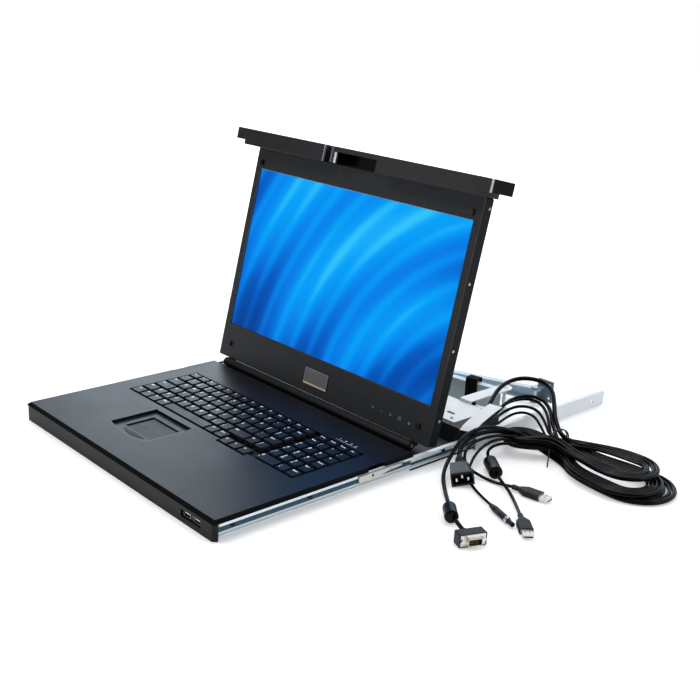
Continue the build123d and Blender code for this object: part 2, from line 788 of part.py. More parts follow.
# Lid: LCD module behind the window, and its driver board
module_margin = 5.0
module_thickness = 8.0
module_top = lid_face - bezel_thickness - screw_gap
with BuildPart() as lcd_module:
    with BuildSketch(lid.offset(module_top - module_thickness)):
        with Locations((0, picture_foot + picture_height / 2)):
            Rectangle(picture_width + 2 * 1.8, picture_height + 2 * module_margin)
    extrude(amount=module_thickness)
write(lcd_module, "lcd_module")

driver_top = module_top - module_thickness - 1.0
with BuildPart() as lcd_driver_board:
    with BuildSketch(lid.offset(lid_back + lid_wall)):
        with Locations((60, lid_foot + 26)):
            Rectangle(210, 36)
    extrude(amount=4.0)
    with BuildSketch(lid.offset(lid_back + lid_wall + 4.0)):
        with Locations((10, lid_foot + 26), (80, lid_foot + 28), (140, lid_foot + 26)):
            Rectangle(26, 18)
    extrude(amount=3.0)
write(lcd_driver_board, "lcd_driver_board")

# Lid: hinge knuckles that turn on the pins and carry the lid's lower edge
leaf_low, leaf_high = lid_face - 0.5, lid_face - 9.0
with BuildPart() as hinge_knuckles:
    for side in (-1, 1):
        end = Vector(side * (barrel_span / 2 + seat_gap), 0, 0)
        with BuildSketch(Plane(origin=lid.origin + end, x_dir=lid.y_dir, z_dir=(1, 0, 0))):
            Circle(hinge_radius)
            with Locations((lid_foot / 2, (leaf_low + leaf_high) / 2)):
                Rectangle(lid_foot, leaf_low - leaf_high)
            Circle(pin_diameter / 2 + running_gap, mode=Mode.SUBTRACT)
        extrude(amount=side * knuckle_width)
write(hinge_knuckles, "hinge_knuckles")

# Lid: rubber bumpers that land on the deck, and the bare badge plate
bumper_places = [(-203.5, 239.7), (201.5, 239.7), (-195.0, -29.8), (195.0, -29.8)]
bumper_radius = 4.0
bumper_height = 2.2
with BuildPart() as lid_bumpers:
    with BuildSketch(lid.offset(lid_face)):
        with Locations(*((x, picture_foot + v) for x, v in bumper_places)):
            Circle(bumper_radius)
    extrude(amount=bumper_height, taper=8)
write(lid_bumpers, "lid_bumpers")

badge_width, badge_height, badge_thickness = 47.0, 22.4, 0.8
with BuildPart() as badge_plate:
    with BuildSketch(lid.offset(lid_face)):
        with Locations((-0.7, picture_foot - 27.6)):
            RectangleRounded(badge_width, badge_height, 1.0)
    extrude(amount=badge_thickness)
write(badge_plate, "badge_plate")

# Fascia bar: the 1U front panel on the lid's upper edge, with notched ends and a finger recess
bar_top = lid_face + bar_reach
bar_notch_width, bar_notch_height = 19.6, 6.3
recess_x = (-50.0, 51.0)
recess_height = 15.8
recess_reach = 23.0
gate = 20.4  # width of the latch's opening at the recess's left end
with BuildPart() as fascia_bar:
    with BuildSketch(lid.offset(bar_top - bar_depth)):
        with Locations((0, lid_head)):
            Rectangle(rack_face_width, bar_thickness, align=up)
    extrude(amount=bar_depth)
    fillet(fascia_bar.edges().filter_by(Axis.X), 0.8)
    with BuildSketch(lid.offset(bar_top - bar_depth)):
        for side in (-1, 1):
            with Locations((side * (rack_face_width - bar_notch_width) / 2, lid_head)):
                Rectangle(bar_notch_width, 2 * bar_notch_height)
    extrude(amount=bar_depth, mode=Mode.SUBTRACT)
    with BuildSketch(lid.offset(bar_top - recess_reach)):
        with Locations(((recess_x[0] + recess_x[1]) / 2, lid_head)):
            Rectangle(recess_x[1] - recess_x[0], 2 * recess_height)
        with Locations((recess_x[0] + gate / 2, lid_head + bar_thickness / 2)):
            Rectangle(gate, bar_thickness)
    extrude(amount=recess_reach, mode=Mode.SUBTRACT)
write(fascia_bar, "fascia_bar")

# Latch: a roller post and its steel plate, which slide together in the bar's recess
latch_x = -36.0
post_radius = 3.4
latch_travel = 6.0
plate_left, plate_right = -32.0, -24.0
latch_floor = bar_top - recess_reach + 0.2
with BuildPart() as latch_slider:
    post = Plane(origin=lid.origin + lid.y_dir * (lid_head + 1.2) + lid.z_dir * (bar_top - 4.2) + Vector(latch_x, 0, 0), x_dir=(1, 0, 0), z_dir=lid.y_dir)
    with BuildSketch(post):
        Circle(post_radius)
    extrude(amount=bar_thickness - 2.4)
    with BuildSketch(lid.offset(latch_floor)):
        with Locations(((latch_x + plate_right) / 2 - 1, lid_head + 1.0)):
            Rectangle(plate_right - latch_x + 4, recess_height - 1.4, align=up)
    extrude(amount=4.0)
    with BuildSketch(lid.offset(latch_floor)):
        with Locations(((plate_left + plate_right) / 2, lid_head + 1.0)):
            Rectangle(plate_right - plate_left, recess_height - 1.4, align=up)
        with Locations((latch_x, lid_head + 1.0)):
            Rectangle(3.0, recess_height - 1.4, align=up)
    extrude(amount=recess_reach - 2.0)
write(latch_slider, "latch_slider")


def arm_plane(x, y, angle, height):
    """A horizontal plane on a pivot of the cable arm, with its X along the arm."""
    along = (cos(radians(angle)), sin(radians(angle)), 0)
    return Plane(origin=(x, front + y, height), x_dir=along, z_dir=(0, 0, 1))


# Cable arm: two channels on upright pins, folded across the back of the chassis
arm_top = arm_low + arm_height
elbow_x = arm_pivot_x + arm_length * cos(radians(arm_turn))
elbow_y = arm_pivot_y + arm_length * sin(radians(arm_turn))
outer_angle = degrees(atan2(end_pivot_y - elbow_y, end_pivot_x - elbow_x))
outer_arm_length = ((end_pivot_x - elbow_x) ** 2 + (end_pivot_y - elbow_y) ** 2) ** 0.5
nesting = arm_sheet + seat_gap
bore_radius = arm_pin / 2 + running_gap


end_low = arm_low + nesting
arm_channels = {
    "cable_arm_inner": (arm_pivot_x, arm_pivot_y, arm_turn, arm_length, arm_low, arm_height),
    "cable_arm_outer": (elbow_x, elbow_y, outer_angle, outer_arm_length, end_low, outer_arm_height),
}
for name, (x, y, angle, span, low, height) in arm_channels.items():
    with BuildPart() as cable_arm:
        pivot = arm_plane(x, y, angle, low)
        for rise in (0, height - arm_sheet):
            with BuildSketch(pivot.offset(rise)):
                with Locations((span / 2, arm_depth / 2)):
                    Rectangle(span, arm_depth)
                with Locations((0, 0), (span, 0)):
                    Circle(knuckle_radius)
                with Locations((0, 0), (span, 0)):
                    Circle(bore_radius, mode=Mode.SUBTRACT)
            extrude(amount=arm_sheet)
        with BuildSketch(pivot):
            with Locations((span / 2, arm_depth - arm_sheet / 2)):
                Rectangle(span, arm_sheet)
        extrude(amount=height)
    write(cable_arm, name)

# Arm bracket on the rear wall, with an ear above and below the arm
ear_reach = arm_pivot_y - rear_depth
ear_rise = arm_top + seat_gap
ear_low = arm_low - seat_gap - sheet
ear_half = 10.0
with BuildPart() as arm_bracket:
    for height in (ear_low, ear_rise):
        with BuildSketch(level(height)):
            with Locations((arm_pivot_x, front + rear_depth)):
                Rectangle(2 * ear_half, ear_reach, align=up)
            with Locations((arm_pivot_x, front + arm_pivot_y)):
                Circle(ear_half)
                Circle(bore_radius, mode=Mode.SUBTRACT)
        extrude(amount=sheet)
    with BuildSketch(facing(rear_depth)):
        with Locations((arm_pivot_x, ear_low)):
            Rectangle(2 * ear_half, ear_rise + sheet - ear_low, align=up)
    extrude(amount=-sheet)
write(arm_bracket, "arm_bracket")

# End bracket: the arm's far end, which bolts to the rack
end_plate_width, end_plate_setback = 26.0, 14.0
end_hole, end_hole_pitch = 4.5, 20.0
end_foot = end_low - seat_gap - sheet
end_ear = end_low + outer_arm_height + seat_gap
end_plate_height = 31.6
with BuildPart() as arm_end_bracket:
    for height in (end_foot, end_ear):
        with BuildSketch(level(height)):
            with Locations((end_pivot_x, front + end_pivot_y)):
                Circle(knuckle_radius)
                Rectangle(2 * knuckle_radius, end_plate_setback, align=up)
                Circle(bore_radius, mode=Mode.SUBTRACT)
        extrude(amount=sheet)
    with BuildSketch(facing(end_pivot_y + end_plate_setback)):
        with Locations((end_pivot_x + end_plate_width / 2 - knuckle_radius, end_foot)):
            Rectangle(end_plate_width, end_plate_height, align=up)
        hole_x = end_pivot_x + end_plate_width - knuckle_radius - 6
        with Locations((hole_x, end_foot + end_plate_height / 2)):
            with GridLocations(0, end_hole_pitch, 1, 2):
                Circle(end_hole / 2, mode=Mode.SUBTRACT)
    extrude(amount=-2 * sheet)
write(arm_end_bracket, "arm_end_bracket")

# Arm pins: headed rods at the bracket, the elbow and the far end
pin_head = 1.2
head_radius = 4.6


end_top = end_ear + sheet
pins = {
    "arm_pivot_pin": (arm_pivot_x, arm_pivot_y, ear_low - 1, ear_rise + sheet),
    "elbow_pin": (elbow_x, elbow_y, arm_low - 1, arm_top),
    "end_pin": (end_pivot_x, end_pivot_y, arm_low - 1, end_top),
}
for name, (x, y, low, high) in pins.items():
    with BuildPart() as headed_pin:
        with BuildSketch(Plane(origin=(x, front + y, low))):
            Circle(arm_pin / 2)
        extrude(amount=high - low)
        with BuildSketch(Plane(origin=(x, front + y, high))):
            Circle(head_radius)
        extrude(amount=pin_head)
    write(headed_pin, name)

# Hook-and-loop strap round the inner arm
strap_place, strap_width, strap_sheet, strap_slack = 37.5, 18.0, 1.6, 5.0
with BuildPart() as cable_strap:
    along_arm = arm_plane(arm_pivot_x, arm_pivot_y, arm_turn, 0)
    strap_start = along_arm.from_local_coords((strap_place, 0, 0))
    loop = Plane(origin=strap_start, x_dir=along_arm.y_dir, z_dir=along_arm.x_dir)
    with BuildSketch(loop):
        with Locations((arm_depth / 2, (arm_low + arm_top + strap_slack) / 2)):
            inside = (arm_depth + 2 * seat_gap, arm_height + 2 * seat_gap + strap_slack)
            RectangleRounded(inside[0] + 2 * strap_sheet, inside[1] + 2 * strap_sheet, 1.8)
            Rectangle(*inside, mode=Mode.SUBTRACT)
    extrude(amount=strap_width)
write(cable_strap, "cable_strap")

# Hank: the tied bundle that the slack of all five cords is gathered in, as its outer shape
hank_sections = [
    (224, 462, 60, 30),
    (285, 484, 56, 34),
    (370, 490, 84, 30),
    (450, 484, 96, 22),
]
with BuildPart() as cord_hank:
    for x, y, width, height in hank_sections:
        with BuildSketch(sideways(x)):
            with Locations((y, height / 2)):
                RectangleRounded(width, height, height * 0.4)
    loft()
write(cord_hank, "cord_hank")

# Cords: a lead from the clamp into the hank, and a tail from the hank to the plug
for name, diameter in cord_sizes.items():
    with BuildPart() as cord:
        for route in (leads[name], tails[name]):
            points = [from_front(point) for point in route]
            radii = bend_radii(points)
            least = min(radii)
            print(f"{name}: least bend radius {least:.1f} mm, {least / diameter:.1f} diameters")
            with BuildLine() as path:
                FilletPolyline(*points, radius=radii)
            with BuildSketch(Plane(origin=path.line @ 0, z_dir=path.line % 0)):
                Circle(diameter / 2)
            sweep(path=path.line)
    write(cord, name)


def aimed(x, y, z, turn, roll=0.0):
    """An upright plane whose Z points out of a plug's face; turn is measured from +X."""
    ahead = Vector(cos(radians(turn)), sin(radians(turn)), 0)
    sideways_dir = Vector(-sin(radians(turn)), cos(radians(turn)), tan(radians(roll)))
    return Plane(origin=(x, front + y, z), x_dir=sideways_dir, z_dir=ahead)


# Power plug: a moulded inlet plug with three blades, rolled on to the slim cord under it
inlet_width, inlet_height, inlet_length = 28.0, 18.0, 34.0
inlet = aimed(277, 313, 11.4, -42, 11)
with BuildPart() as power_plug:
    with BuildSketch(inlet.offset(-inlet_length)):
        Rectangle(inlet_width - 5, inlet_height - 3)
    with BuildSketch(inlet):
        Rectangle(inlet_width, inlet_height)
    loft()
    chamfer(power_plug.edges().filter_by(lambda edge: edge.length > 30).group_by(Axis.Z)[-1], 4.0)
    with BuildSketch(inlet):
        RectangleRounded(inlet_width - 4, inlet_height - 5, 2.0)
    extrude(amount=-14, mode=Mode.SUBTRACT)
    with BuildSketch(inlet.offset(-15)):
        with Locations((-7, -1.6), (0, 2.0), (7, -1.6)):
            Rectangle(2.0, 4.0)
    extrude(amount=13)
    relief_start = (inlet.origin - inlet.z_dir * (inlet_length - 4))
    relief_end = from_front(tails["power_cord"][-1])
    relief = relief_end - relief_start
    with BuildSketch(Plane(origin=relief_start, z_dir=relief)):
        Circle(6.2)
    extrude(amount=relief.length, taper=6)
write(power_plug, "power_plug")

# Video plug: a hooded 15-pin plug with its face plate, shell and two screws
video_turn = -22.0
hood_width, hood_height, hood_depth = 33.0, 15.6, 13.0
video = aimed(381.3, 214.6, hood_height / 2, video_turn)
with BuildPart() as video_plug:
    with BuildSketch(video):
        RectangleRounded(hood_width, hood_height, 1.6)
    extrude(amount=-hood_depth)
    with BuildSketch(video):
        RectangleRounded(17.0, 8.6, 2.2)
        RectangleRounded(15.6, 7.2, 1.6, mode=Mode.SUBTRACT)
    extrude(amount=5.8)
    with BuildSketch(video):
        Rectangle(14.6, 6.2)
        with Locations((-12.4, 0), (12.4, 0)):
            Circle(2.3)
    extrude(amount=2.6)
    with BuildSketch(video.offset(-hood_depth - 3)):
        with Locations((-12.4, 0), (12.4, 0)):
            Circle(2.6)
    extrude(amount=3.2)
    with BuildSketch(video.offset(-hood_depth)):
        Circle(4.6)
    extrude(amount=-9.5, taper=8)
write(video_plug, "video_plug")

# USB plugs: two flat plugs with steel shells
plug_shell_width, plug_shell_height, plug_shell_length = 12.0, 4.5, 12.0
usb_aims = [aimed(367.0, 366.0, 4.2, 9.0), aimed(408.5, 274.5, 4.2, -40.6)]
with BuildPart() as usb_plugs:
    for aim in usb_aims:
        with BuildSketch(aim):
            Rectangle(plug_shell_width, plug_shell_height)
            with Locations((0, -0.8)):
                Rectangle(plug_shell_width - 1, 1.9, mode=Mode.SUBTRACT)
        extrude(amount=-plug_shell_length)
        with BuildSketch(aim.offset(-plug_shell_length)):
            RectangleRounded(16.0, 8.0, 2.0)
        extrude(amount=-20)
        with BuildSketch(aim.offset(-plug_shell_length - 20)):
            RectangleRounded(16.0, 8.0, 2.0)
        with BuildSketch(aim.offset(-plug_shell_length - 28)):
            RectangleRounded(7.0, 7.0, 2.0)
        loft()
        with BuildSketch(aim.offset(-plug_shell_length - 28)):
            Circle(3.2)
        extrude(amount=-10)
write(usb_plugs, "usb_plugs")

# Slim plug: a round plug with a metal collar and a barrel
slim_aim = aimed(380.5, 282.0, 4.0, -20.5)
with BuildPart() as slim_plug:
    with BuildSketch(slim_aim):
        Circle(2.75)
        Circle(1.2, mode=Mode.SUBTRACT)
    extrude(amount=-12)
    with BuildSketch(slim_aim.offset(-10)):
        Circle(3.6)
    extrude(amount=-4)
    with BuildSketch(slim_aim.offset(-12)):
        Circle(4.0)
    extrude(amount=-28)
    with BuildSketch(slim_aim.offset(-40)):
        Circle(4.0)
    extrude(amount=-10, taper=8)
write(slim_plug, "slim_plug")

# Ferrite cores: moulded barrels on the video cord and on one USB cord
ferrite_spans = {"video_cord": (6, 0.3, 28, 8.0), "usb_cord_b": (4, 0.05, 37, 8.5)}
with BuildPart() as ferrite_cores:
    for name, (leg, share, length, radius) in ferrite_spans.items():
        start, end = from_front(tails[name][leg]), from_front(tails[name][leg + 1])
        along = (end - start).normalized()
        middle = start + (end - start) * share + along * length / 2
        for step, (reach, wide) in enumerate(((length / 2, radius - 2), (length / 2 - 2.5, radius))):
            with BuildSketch(Plane(origin=middle - along * reach, z_dir=along)):
                Circle(wide)
            extrude(amount=2 * reach)
write(ferrite_cores, "ferrite_cores")
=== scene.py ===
# %% [markdown]
# # A rackmount LCD console drawer
# The CAD model gives every rigid piece its exact place. This notebook gives the pieces their
# looks: cords that hang and lie, paint, plated steel, moulded plastic, key legends and a lit
# screen. The CAD model is loaded first and is never moved.

# %% The frame
import functools
import math
import random

import bmesh
import bpy
from mathutils import Matrix, Quaternion, Vector


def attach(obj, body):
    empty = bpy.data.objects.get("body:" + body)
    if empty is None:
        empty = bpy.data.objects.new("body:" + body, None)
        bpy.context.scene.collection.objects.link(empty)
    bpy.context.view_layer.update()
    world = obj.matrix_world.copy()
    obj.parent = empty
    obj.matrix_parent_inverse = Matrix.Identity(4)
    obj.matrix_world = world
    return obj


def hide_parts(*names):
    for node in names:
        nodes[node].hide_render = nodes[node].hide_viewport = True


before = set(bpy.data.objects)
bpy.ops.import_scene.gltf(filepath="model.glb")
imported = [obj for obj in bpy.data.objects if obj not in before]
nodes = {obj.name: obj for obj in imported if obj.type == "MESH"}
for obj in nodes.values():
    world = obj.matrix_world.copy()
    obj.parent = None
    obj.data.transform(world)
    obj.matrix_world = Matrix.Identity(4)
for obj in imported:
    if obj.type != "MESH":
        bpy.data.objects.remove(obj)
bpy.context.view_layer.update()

scene = bpy.context.scene
print("CAD pieces:", len(nodes))

# %% [markdown]
# ## Places
# The CAD source measures from the middle of the floor, in millimetres. Blender works in metres.
# Three helpers turn drawing sizes into places: one for the deck, where "back" is the distance
# behind the front panel, one for the tilted lid, where v runs up the picture and n comes out of
# its face, and one for a plug, whose own axes are across, up and out of its face.

# %% Places on the deck, on the lid and on a plug
MM = 0.001
FRONT_Y = -342.5
LID_TILT = math.radians(12.6)
HINGE_BACK, HINGE_HEIGHT = 310.0, 24.7
DECK_TOP = 24.2
LID_FACE = -2.24
LID_HALF = 216.0
PICTURE_FOOT = 56.4
PICTURE_WIDTH, PICTURE_HEIGHT = 409.8, 230.4
UP_LID = Vector((0, math.sin(LID_TILT), math.cos(LID_TILT)))
OUT_OF_LID = Vector((0, -math.cos(LID_TILT), math.sin(LID_TILT)))
RIGHT, BACK, UP = Vector((1, 0, 0)), Vector((0, 1, 0)), Vector((0, 0, 1))


def on_deck(x, back, up):
    """A place in metres: right of the middle, behind the front face, above the floor, in mm."""
    return Vector((x, FRONT_Y + back, up)) * MM


def on_lid(x, v, n=0.0):
    """A place in metres on the lid: v up the picture from its lower edge, n out of its face."""
    axis = on_deck(x, HINGE_BACK, HINGE_HEIGHT)
    return axis + (UP_LID * (v + PICTURE_FOOT) + OUT_OF_LID * (n + LID_FACE)) * MM


def turned(place, across, upward):
    """A matrix that lays a flat drawing at a place, with these directions as its X and Y."""
    outward = across.cross(upward)
    return Matrix.Translation(place) @ Matrix((across, upward, outward)).transposed().to_4x4()


def plug_axes(x, back, up, turn, roll=0.0):
    """The middle of a plug's face, and its directions across, up and out of the face."""
    turn = math.radians(turn)
    outward = Vector((math.cos(turn), math.sin(turn), 0))
    across = Vector((-math.sin(turn), math.cos(turn), math.tan(math.radians(roll)))).normalized()
    return on_deck(x, back, up), across, outward.cross(across), outward


POWER_PLUG = plug_axes(277, 313, 11.4, -42, 11)
VIDEO_PLUG = plug_axes(381.3, 214.6, 7.8, -22)
USB_PLUGS = [plug_axes(367.0, 366.0, 4.2, 9.0), plug_axes(408.5, 274.5, 4.2, -40.6)]
SLIM_PLUG = plug_axes(380.5, 282.0, 4.0, -20.5)
print("screen's upper right corner:", on_lid(PICTURE_WIDTH / 2, PICTURE_HEIGHT))

# %% [markdown]
# ## The camera
# The photograph was taken from the right front, a little above the lid's middle, and the camera
# was rolled by about three degrees. The roll turns the camera about its own viewing axis.

# %% The camera
EYE = Vector((1.0279, -0.9303, 0.5559))
TARGET = Vector((0.0895, -0.0479, 0.1242))
ROLL = math.radians(3.0)

camera_data = bpy.data.cameras.new("camera")
camera_data.sensor_width = 36.0
camera_data.lens = 55.15
camera = bpy.data.objects.new("camera", camera_data)
camera.location = EYE
camera.rotation_mode = "QUATERNION"
straight = (TARGET - EYE).to_track_quat("-Z", "Y")
camera.rotation_quaternion = straight @ Quaternion((0, 0, 1), ROLL)
scene.collection.objects.link(camera)
scene.camera = camera
print("camera distance:", round((TARGET - EYE).length, 3), "m")

# %% [markdown]
# ## The cords
# Five cords leave the clamp on the rear wall: a power lead, a video lead, two USB leads and a
# slim one. Each is one NURBS curve. It climbs out of the clamp, turns down into the bundle,
# goes round the bundle three times, and comes out at the front of it to its plug. The leads and
# tails use the route points of the CAD model. The turns follow a rule: five nested loops in each
# of three layers, pinched where the wire tie holds them and fanned out at the far end.

# %% Routes of the cords
CORDS = {  # diameter in millimetres, real length in metres, far end, and the piece on the cord
    "power_cord": (6.0, 1.8, "plug", "power_plug"),
    "video_cord": (5.0, 1.8, "connector", "video_plug"),
    "usb_cord_a": (4.0, 1.7, "connector", "usb_plugs"),
    "usb_cord_b": (4.0, 1.7, "connector", "ferrite_cores"),
    "slim_cord": (3.6, 1.6, "connector", "slim_plug"),
}
LEADS = {
    "power_cord": [
        (178, 467, 24), (166, 492, 38), (158, 521, 50), (167, 547, 58), (194.5, 559, 60),
        (222, 550, 57), (241, 531, 48), (262, 508, 34), (288, 494, 20),
    ],
    "video_cord": [
        (190, 467, 24), (184, 497, 37), (193, 524, 45), (216, 535, 46), (241, 525, 40),
        (262, 503, 28), (290, 487, 13),
    ],
    "usb_cord_a": [
        (174, 467, 12), (172, 498, 25), (184, 524, 37), (210, 532, 42), (236, 522, 38),
        (259, 502, 25), (284, 478, 14),
    ],
    "usb_cord_b": [
        (184, 467, 12), (182, 497, 23), (194, 517, 32), (218, 523, 34), (242, 512, 28),
        (268, 494, 14),
    ],
    "slim_cord": [
        (194, 467, 12), (193, 493, 21), (204, 510, 28), (226, 511, 29), (248, 500, 21),
        (274, 484, 12),
    ],
}
TAILS = {
    "power_cord": [(248, 458, 20), (226, 425, 31), (219, 372, 26), (236, 352, 16.5)],
    "video_cord": [
        (250, 452, 27), (228, 415, 39), (225, 372, 37), (229, 340, 12), (246, 312, 5),
        (275, 285, 3), (305, 258, 8), (330, 236, 8.5), (360.3, 222.3, 8),
    ],
    "usb_cord_a": [
        (258, 458, 20), (237, 420, 29), (232, 368, 26), (248, 347, 9), (281, 351, 2.2),
        (302, 354.6, 2.2), (317.6, 358.2, 4.2),
    ],
    "usb_cord_b": [
        (284, 464, 14), (262, 436, 19), (241, 424, 17), (238, 402, 12), (256, 386, 9),
        (296, 356.5, 8.5), (330, 343, 2.2), (370.5, 307, 4.2),
    ],
    "slim_cord": [
        (262, 458, 14), (240, 425, 25), (238, 385, 18), (252, 350, 2), (285, 319.5, 2),
        (333, 300, 4),
    ],
}
TIE_X, TIE_Y = 285.0, 487.0
LANE_WIDTH, LANE_RISE = 3.5, 4.6  # spacing of the strands where the tie pinches them
TIE_FOOT, LAYER_RISE = 3.4, 9.4  # heights at the tie: the lowest strand, and from layer to layer
PINCH_X, FAN_X = 312.0, 340.0  # where the strands leave the pinch, and where they are fanned out
FAN_SHARE, NEST_SHARE = 0.84, 0.85
TURN_HEIGHT, TURN_DROP = 24.0, 8.5  # the near turns' first height, and their fall to the next layer
LAYERS = [  # height, far end, half width and middle of the outermost loop, from the top layer
    (17.0, 420.0, 39.0, 497.0),
    (10.2, 438.0, 42.0, 475.0),
    (3.4, 451.0, 47.0, 484.0),
]
NEAR_END, NEAR_HALF, NEAR_MIDDLE = 226.0, 27.0, 464.0
NESTING = [0.0, 6.2, 11.4, 16.0, 20.4]  # how far inside the outermost loop each cord's loop lies


def round_end(centre_x, centre_y, radius, angles, low, high):
    """Control points round an end of a loop, at 45 degrees from each other."""
    reach = radius / math.cos(math.radians(22.5))
    points = []
    for step, angle in enumerate(angles):
        height = low + (high - low) * step / (len(angles) - 1)
        turn = math.radians(angle)
        points.append((centre_x + reach * math.cos(turn), centre_y + reach * math.sin(turn), height))
    return points


def far_turn(layer, nest, wobble):
    """Out along the back of the bundle, round its far end and home along its front."""
    height, reach, half, middle = LAYERS[layer]
    half -= NESTING[nest]
    centre = reach - NESTING[nest] * NEST_SHARE + wobble - half
    lane = (9 - 2 * nest) / 2 * LANE_WIDTH
    tie_height = TIE_FOOT + (2 - layer) * LAYER_RISE + (nest % 2) * LANE_RISE
    route = []
    for side in (1, -1):
        route.append([
            (TIE_X, TIE_Y + side * lane, tie_height),
            (PINCH_X, TIE_Y + side * (0.5 * lane + 0.35 * half), (tie_height + height) / 2),
            (FAN_X, middle + side * FAN_SHARE * half, height),
        ])
    angles = (112.5, 67.5, 22.5, -22.5, -67.5, -112.5)
    return route[0] + round_end(centre, middle, half, angles, height, height) + route[1][::-1]


def near_turn(layer, nest, wobble):
    """Round the bundle's near end, down to the next layer."""
    half = NEAR_HALF - 0.62 * NESTING[nest]
    centre = NEAR_END + 0.5 * NESTING[nest] + wobble + half
    high = TURN_HEIGHT - TURN_DROP * layer
    angles = (-67.5, -112.5, -157.5, -202.5, -247.5, -292.5)
    return round_end(centre, NEAR_MIDDLE, half, angles, high, high - TURN_DROP)


def cord_points(name, nest, shuffle):
    """The whole route of one cord, from the clamp to its plug."""
    route = list(LEADS[name])
    for layer in range(len(LAYERS)):
        loop = far_turn(layer, nest, shuffle.uniform(-3, 3))
        route += loop[1:] if layer == 0 else loop
        if layer < len(LAYERS) - 1:
            route += near_turn(layer, nest, shuffle.uniform(-2, 2))
    return route + TAILS[name]


# %% Curves for the cords
def smooth_curve(name, points, radius):
    """A round curve piece along one NURBS spline with these points as its control points."""
    line = bpy.data.curves.new(name, "CURVE")
    line.dimensions = "3D"
    line.bevel_depth = 1.0
    line.bevel_resolution = 5
    line.resolution_u = 8
    line.use_fill_caps = True
    spline = line.splines.new("NURBS")
    spline.points.add(len(points) - 1)
    for point, place in zip(spline.points, points):
        point.co = (*place, 1.0)
        point.radius = radius
    spline.order_u = 3
    spline.use_endpoint_u = True
    piece = bpy.data.objects.new(name, line)
    scene.collection.objects.link(piece)
    return piece


shuffle = random.Random(7)
cord_pieces = []
for nest, (name, (size, length, far_end, carried)) in enumerate(CORDS.items()):
    route = [on_deck(*point) for point in cord_points(name, nest, shuffle)]
    piece = smooth_curve("lay_" + name, route, size / 2 * MM)
    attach(piece, "drawer")
    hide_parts(name, "cord_hank")
    cord_pieces.append(piece)
    runs = sum((b - a).length for a, b in zip(route, route[1:]))
    print(name, len(route), "points, runs of", round(runs, 2), "m")

# %% [markdown]
# ## Node graphs as Python
# Materials, the world and the copying trees are graphs of nodes. Wrapping a socket in a small
# class lets a formula such as `1 - mask * 0.5` add the Math nodes it needs, so a finish reads
# like the sentence that describes it.

# %% A socket that takes part in arithmetic
class Wire:
    """One output in a graph, with the usual operators."""

    def __init__(self, graph, socket):
        self.graph, self.socket = graph, socket

    def math(self, operation, *others):
        """A Math node on this value and the others."""
        values = dict(enumerate((self, *others)))
        return self.graph.node("ShaderNodeMath", {"operation": operation}, values)

    def __add__(self, other):
        return self.math("ADD", other)

    def __sub__(self, other):
        return self.math("SUBTRACT", other)

    def __rsub__(self, other):
        return self.math("MULTIPLY_ADD", -1.0, other)

    def __mul__(self, other):
        return self.math("MULTIPLY", other)

    def __pow__(self, other):
        return self.math("POWER", other)

    __radd__, __rmul__ = __add__, __mul__

    def between(self, low, high):
        """0 below low, 1 above high, and smooth in between."""
        settings = {"interpolation_type": "SMOOTHSTEP"}
        return self.graph.node("ShaderNodeMapRange", settings, {0: self, 1: low, 2: high})

    def near(self, middle, half, edge=0.1):
        """1 within a distance of a value, with a narrow soft edge."""
        return (self - middle).math("ABSOLUTE").between(half + edge / 2, half - edge / 2)

    def most(self, other):
        """The larger of two masks, where either counts."""
        return self.math("MAXIMUM", other)


def either(masks):
    """The largest of several masks."""
    return functools.reduce(Wire.most, masks)


# %% A graph and a finish
class Graph:
    """A node tree that is built node by node."""

    def __init__(self, tree):
        self.tree = tree

    def node(self, kind, settings, values, output=0):
        """Adds a node: its settings first, then the values or links of its sockets."""
        made = self.tree.nodes.new(kind)
        for key, value in settings.items():
            if key == "stops":
                ramp = made.color_ramp
                while len(ramp.elements) < len(value):
                    ramp.elements.new(0.5)
                for element, (position, colour) in zip(ramp.elements, value):
                    element.position = position
                    element.color = (*colour, 1.0)
            else:
                setattr(made, key, value)
        for key, value in values.items():
            for given in value if isinstance(value, list) else [value]:
                if isinstance(given, Wire):
                    self.tree.links.new(given.socket, made.inputs[key])
                else:
                    made.inputs[key].default_value = given
        return Wire(self, made.outputs[output])

    def mix(self, share, first, second):
        """A colour between two colours."""
        first, second = (c if isinstance(c, Wire) else (*c, 1.0) for c in (first, second))
        return self.node("ShaderNodeMix", {"data_type": "RGBA"}, {0: share, 6: first, 7: second}, 2)

    def parts_of(self, vector):
        """The three numbers of a vector."""
        return [self.node("ShaderNodeSeparateXYZ", {}, {0: vector}, output) for output in range(3)]


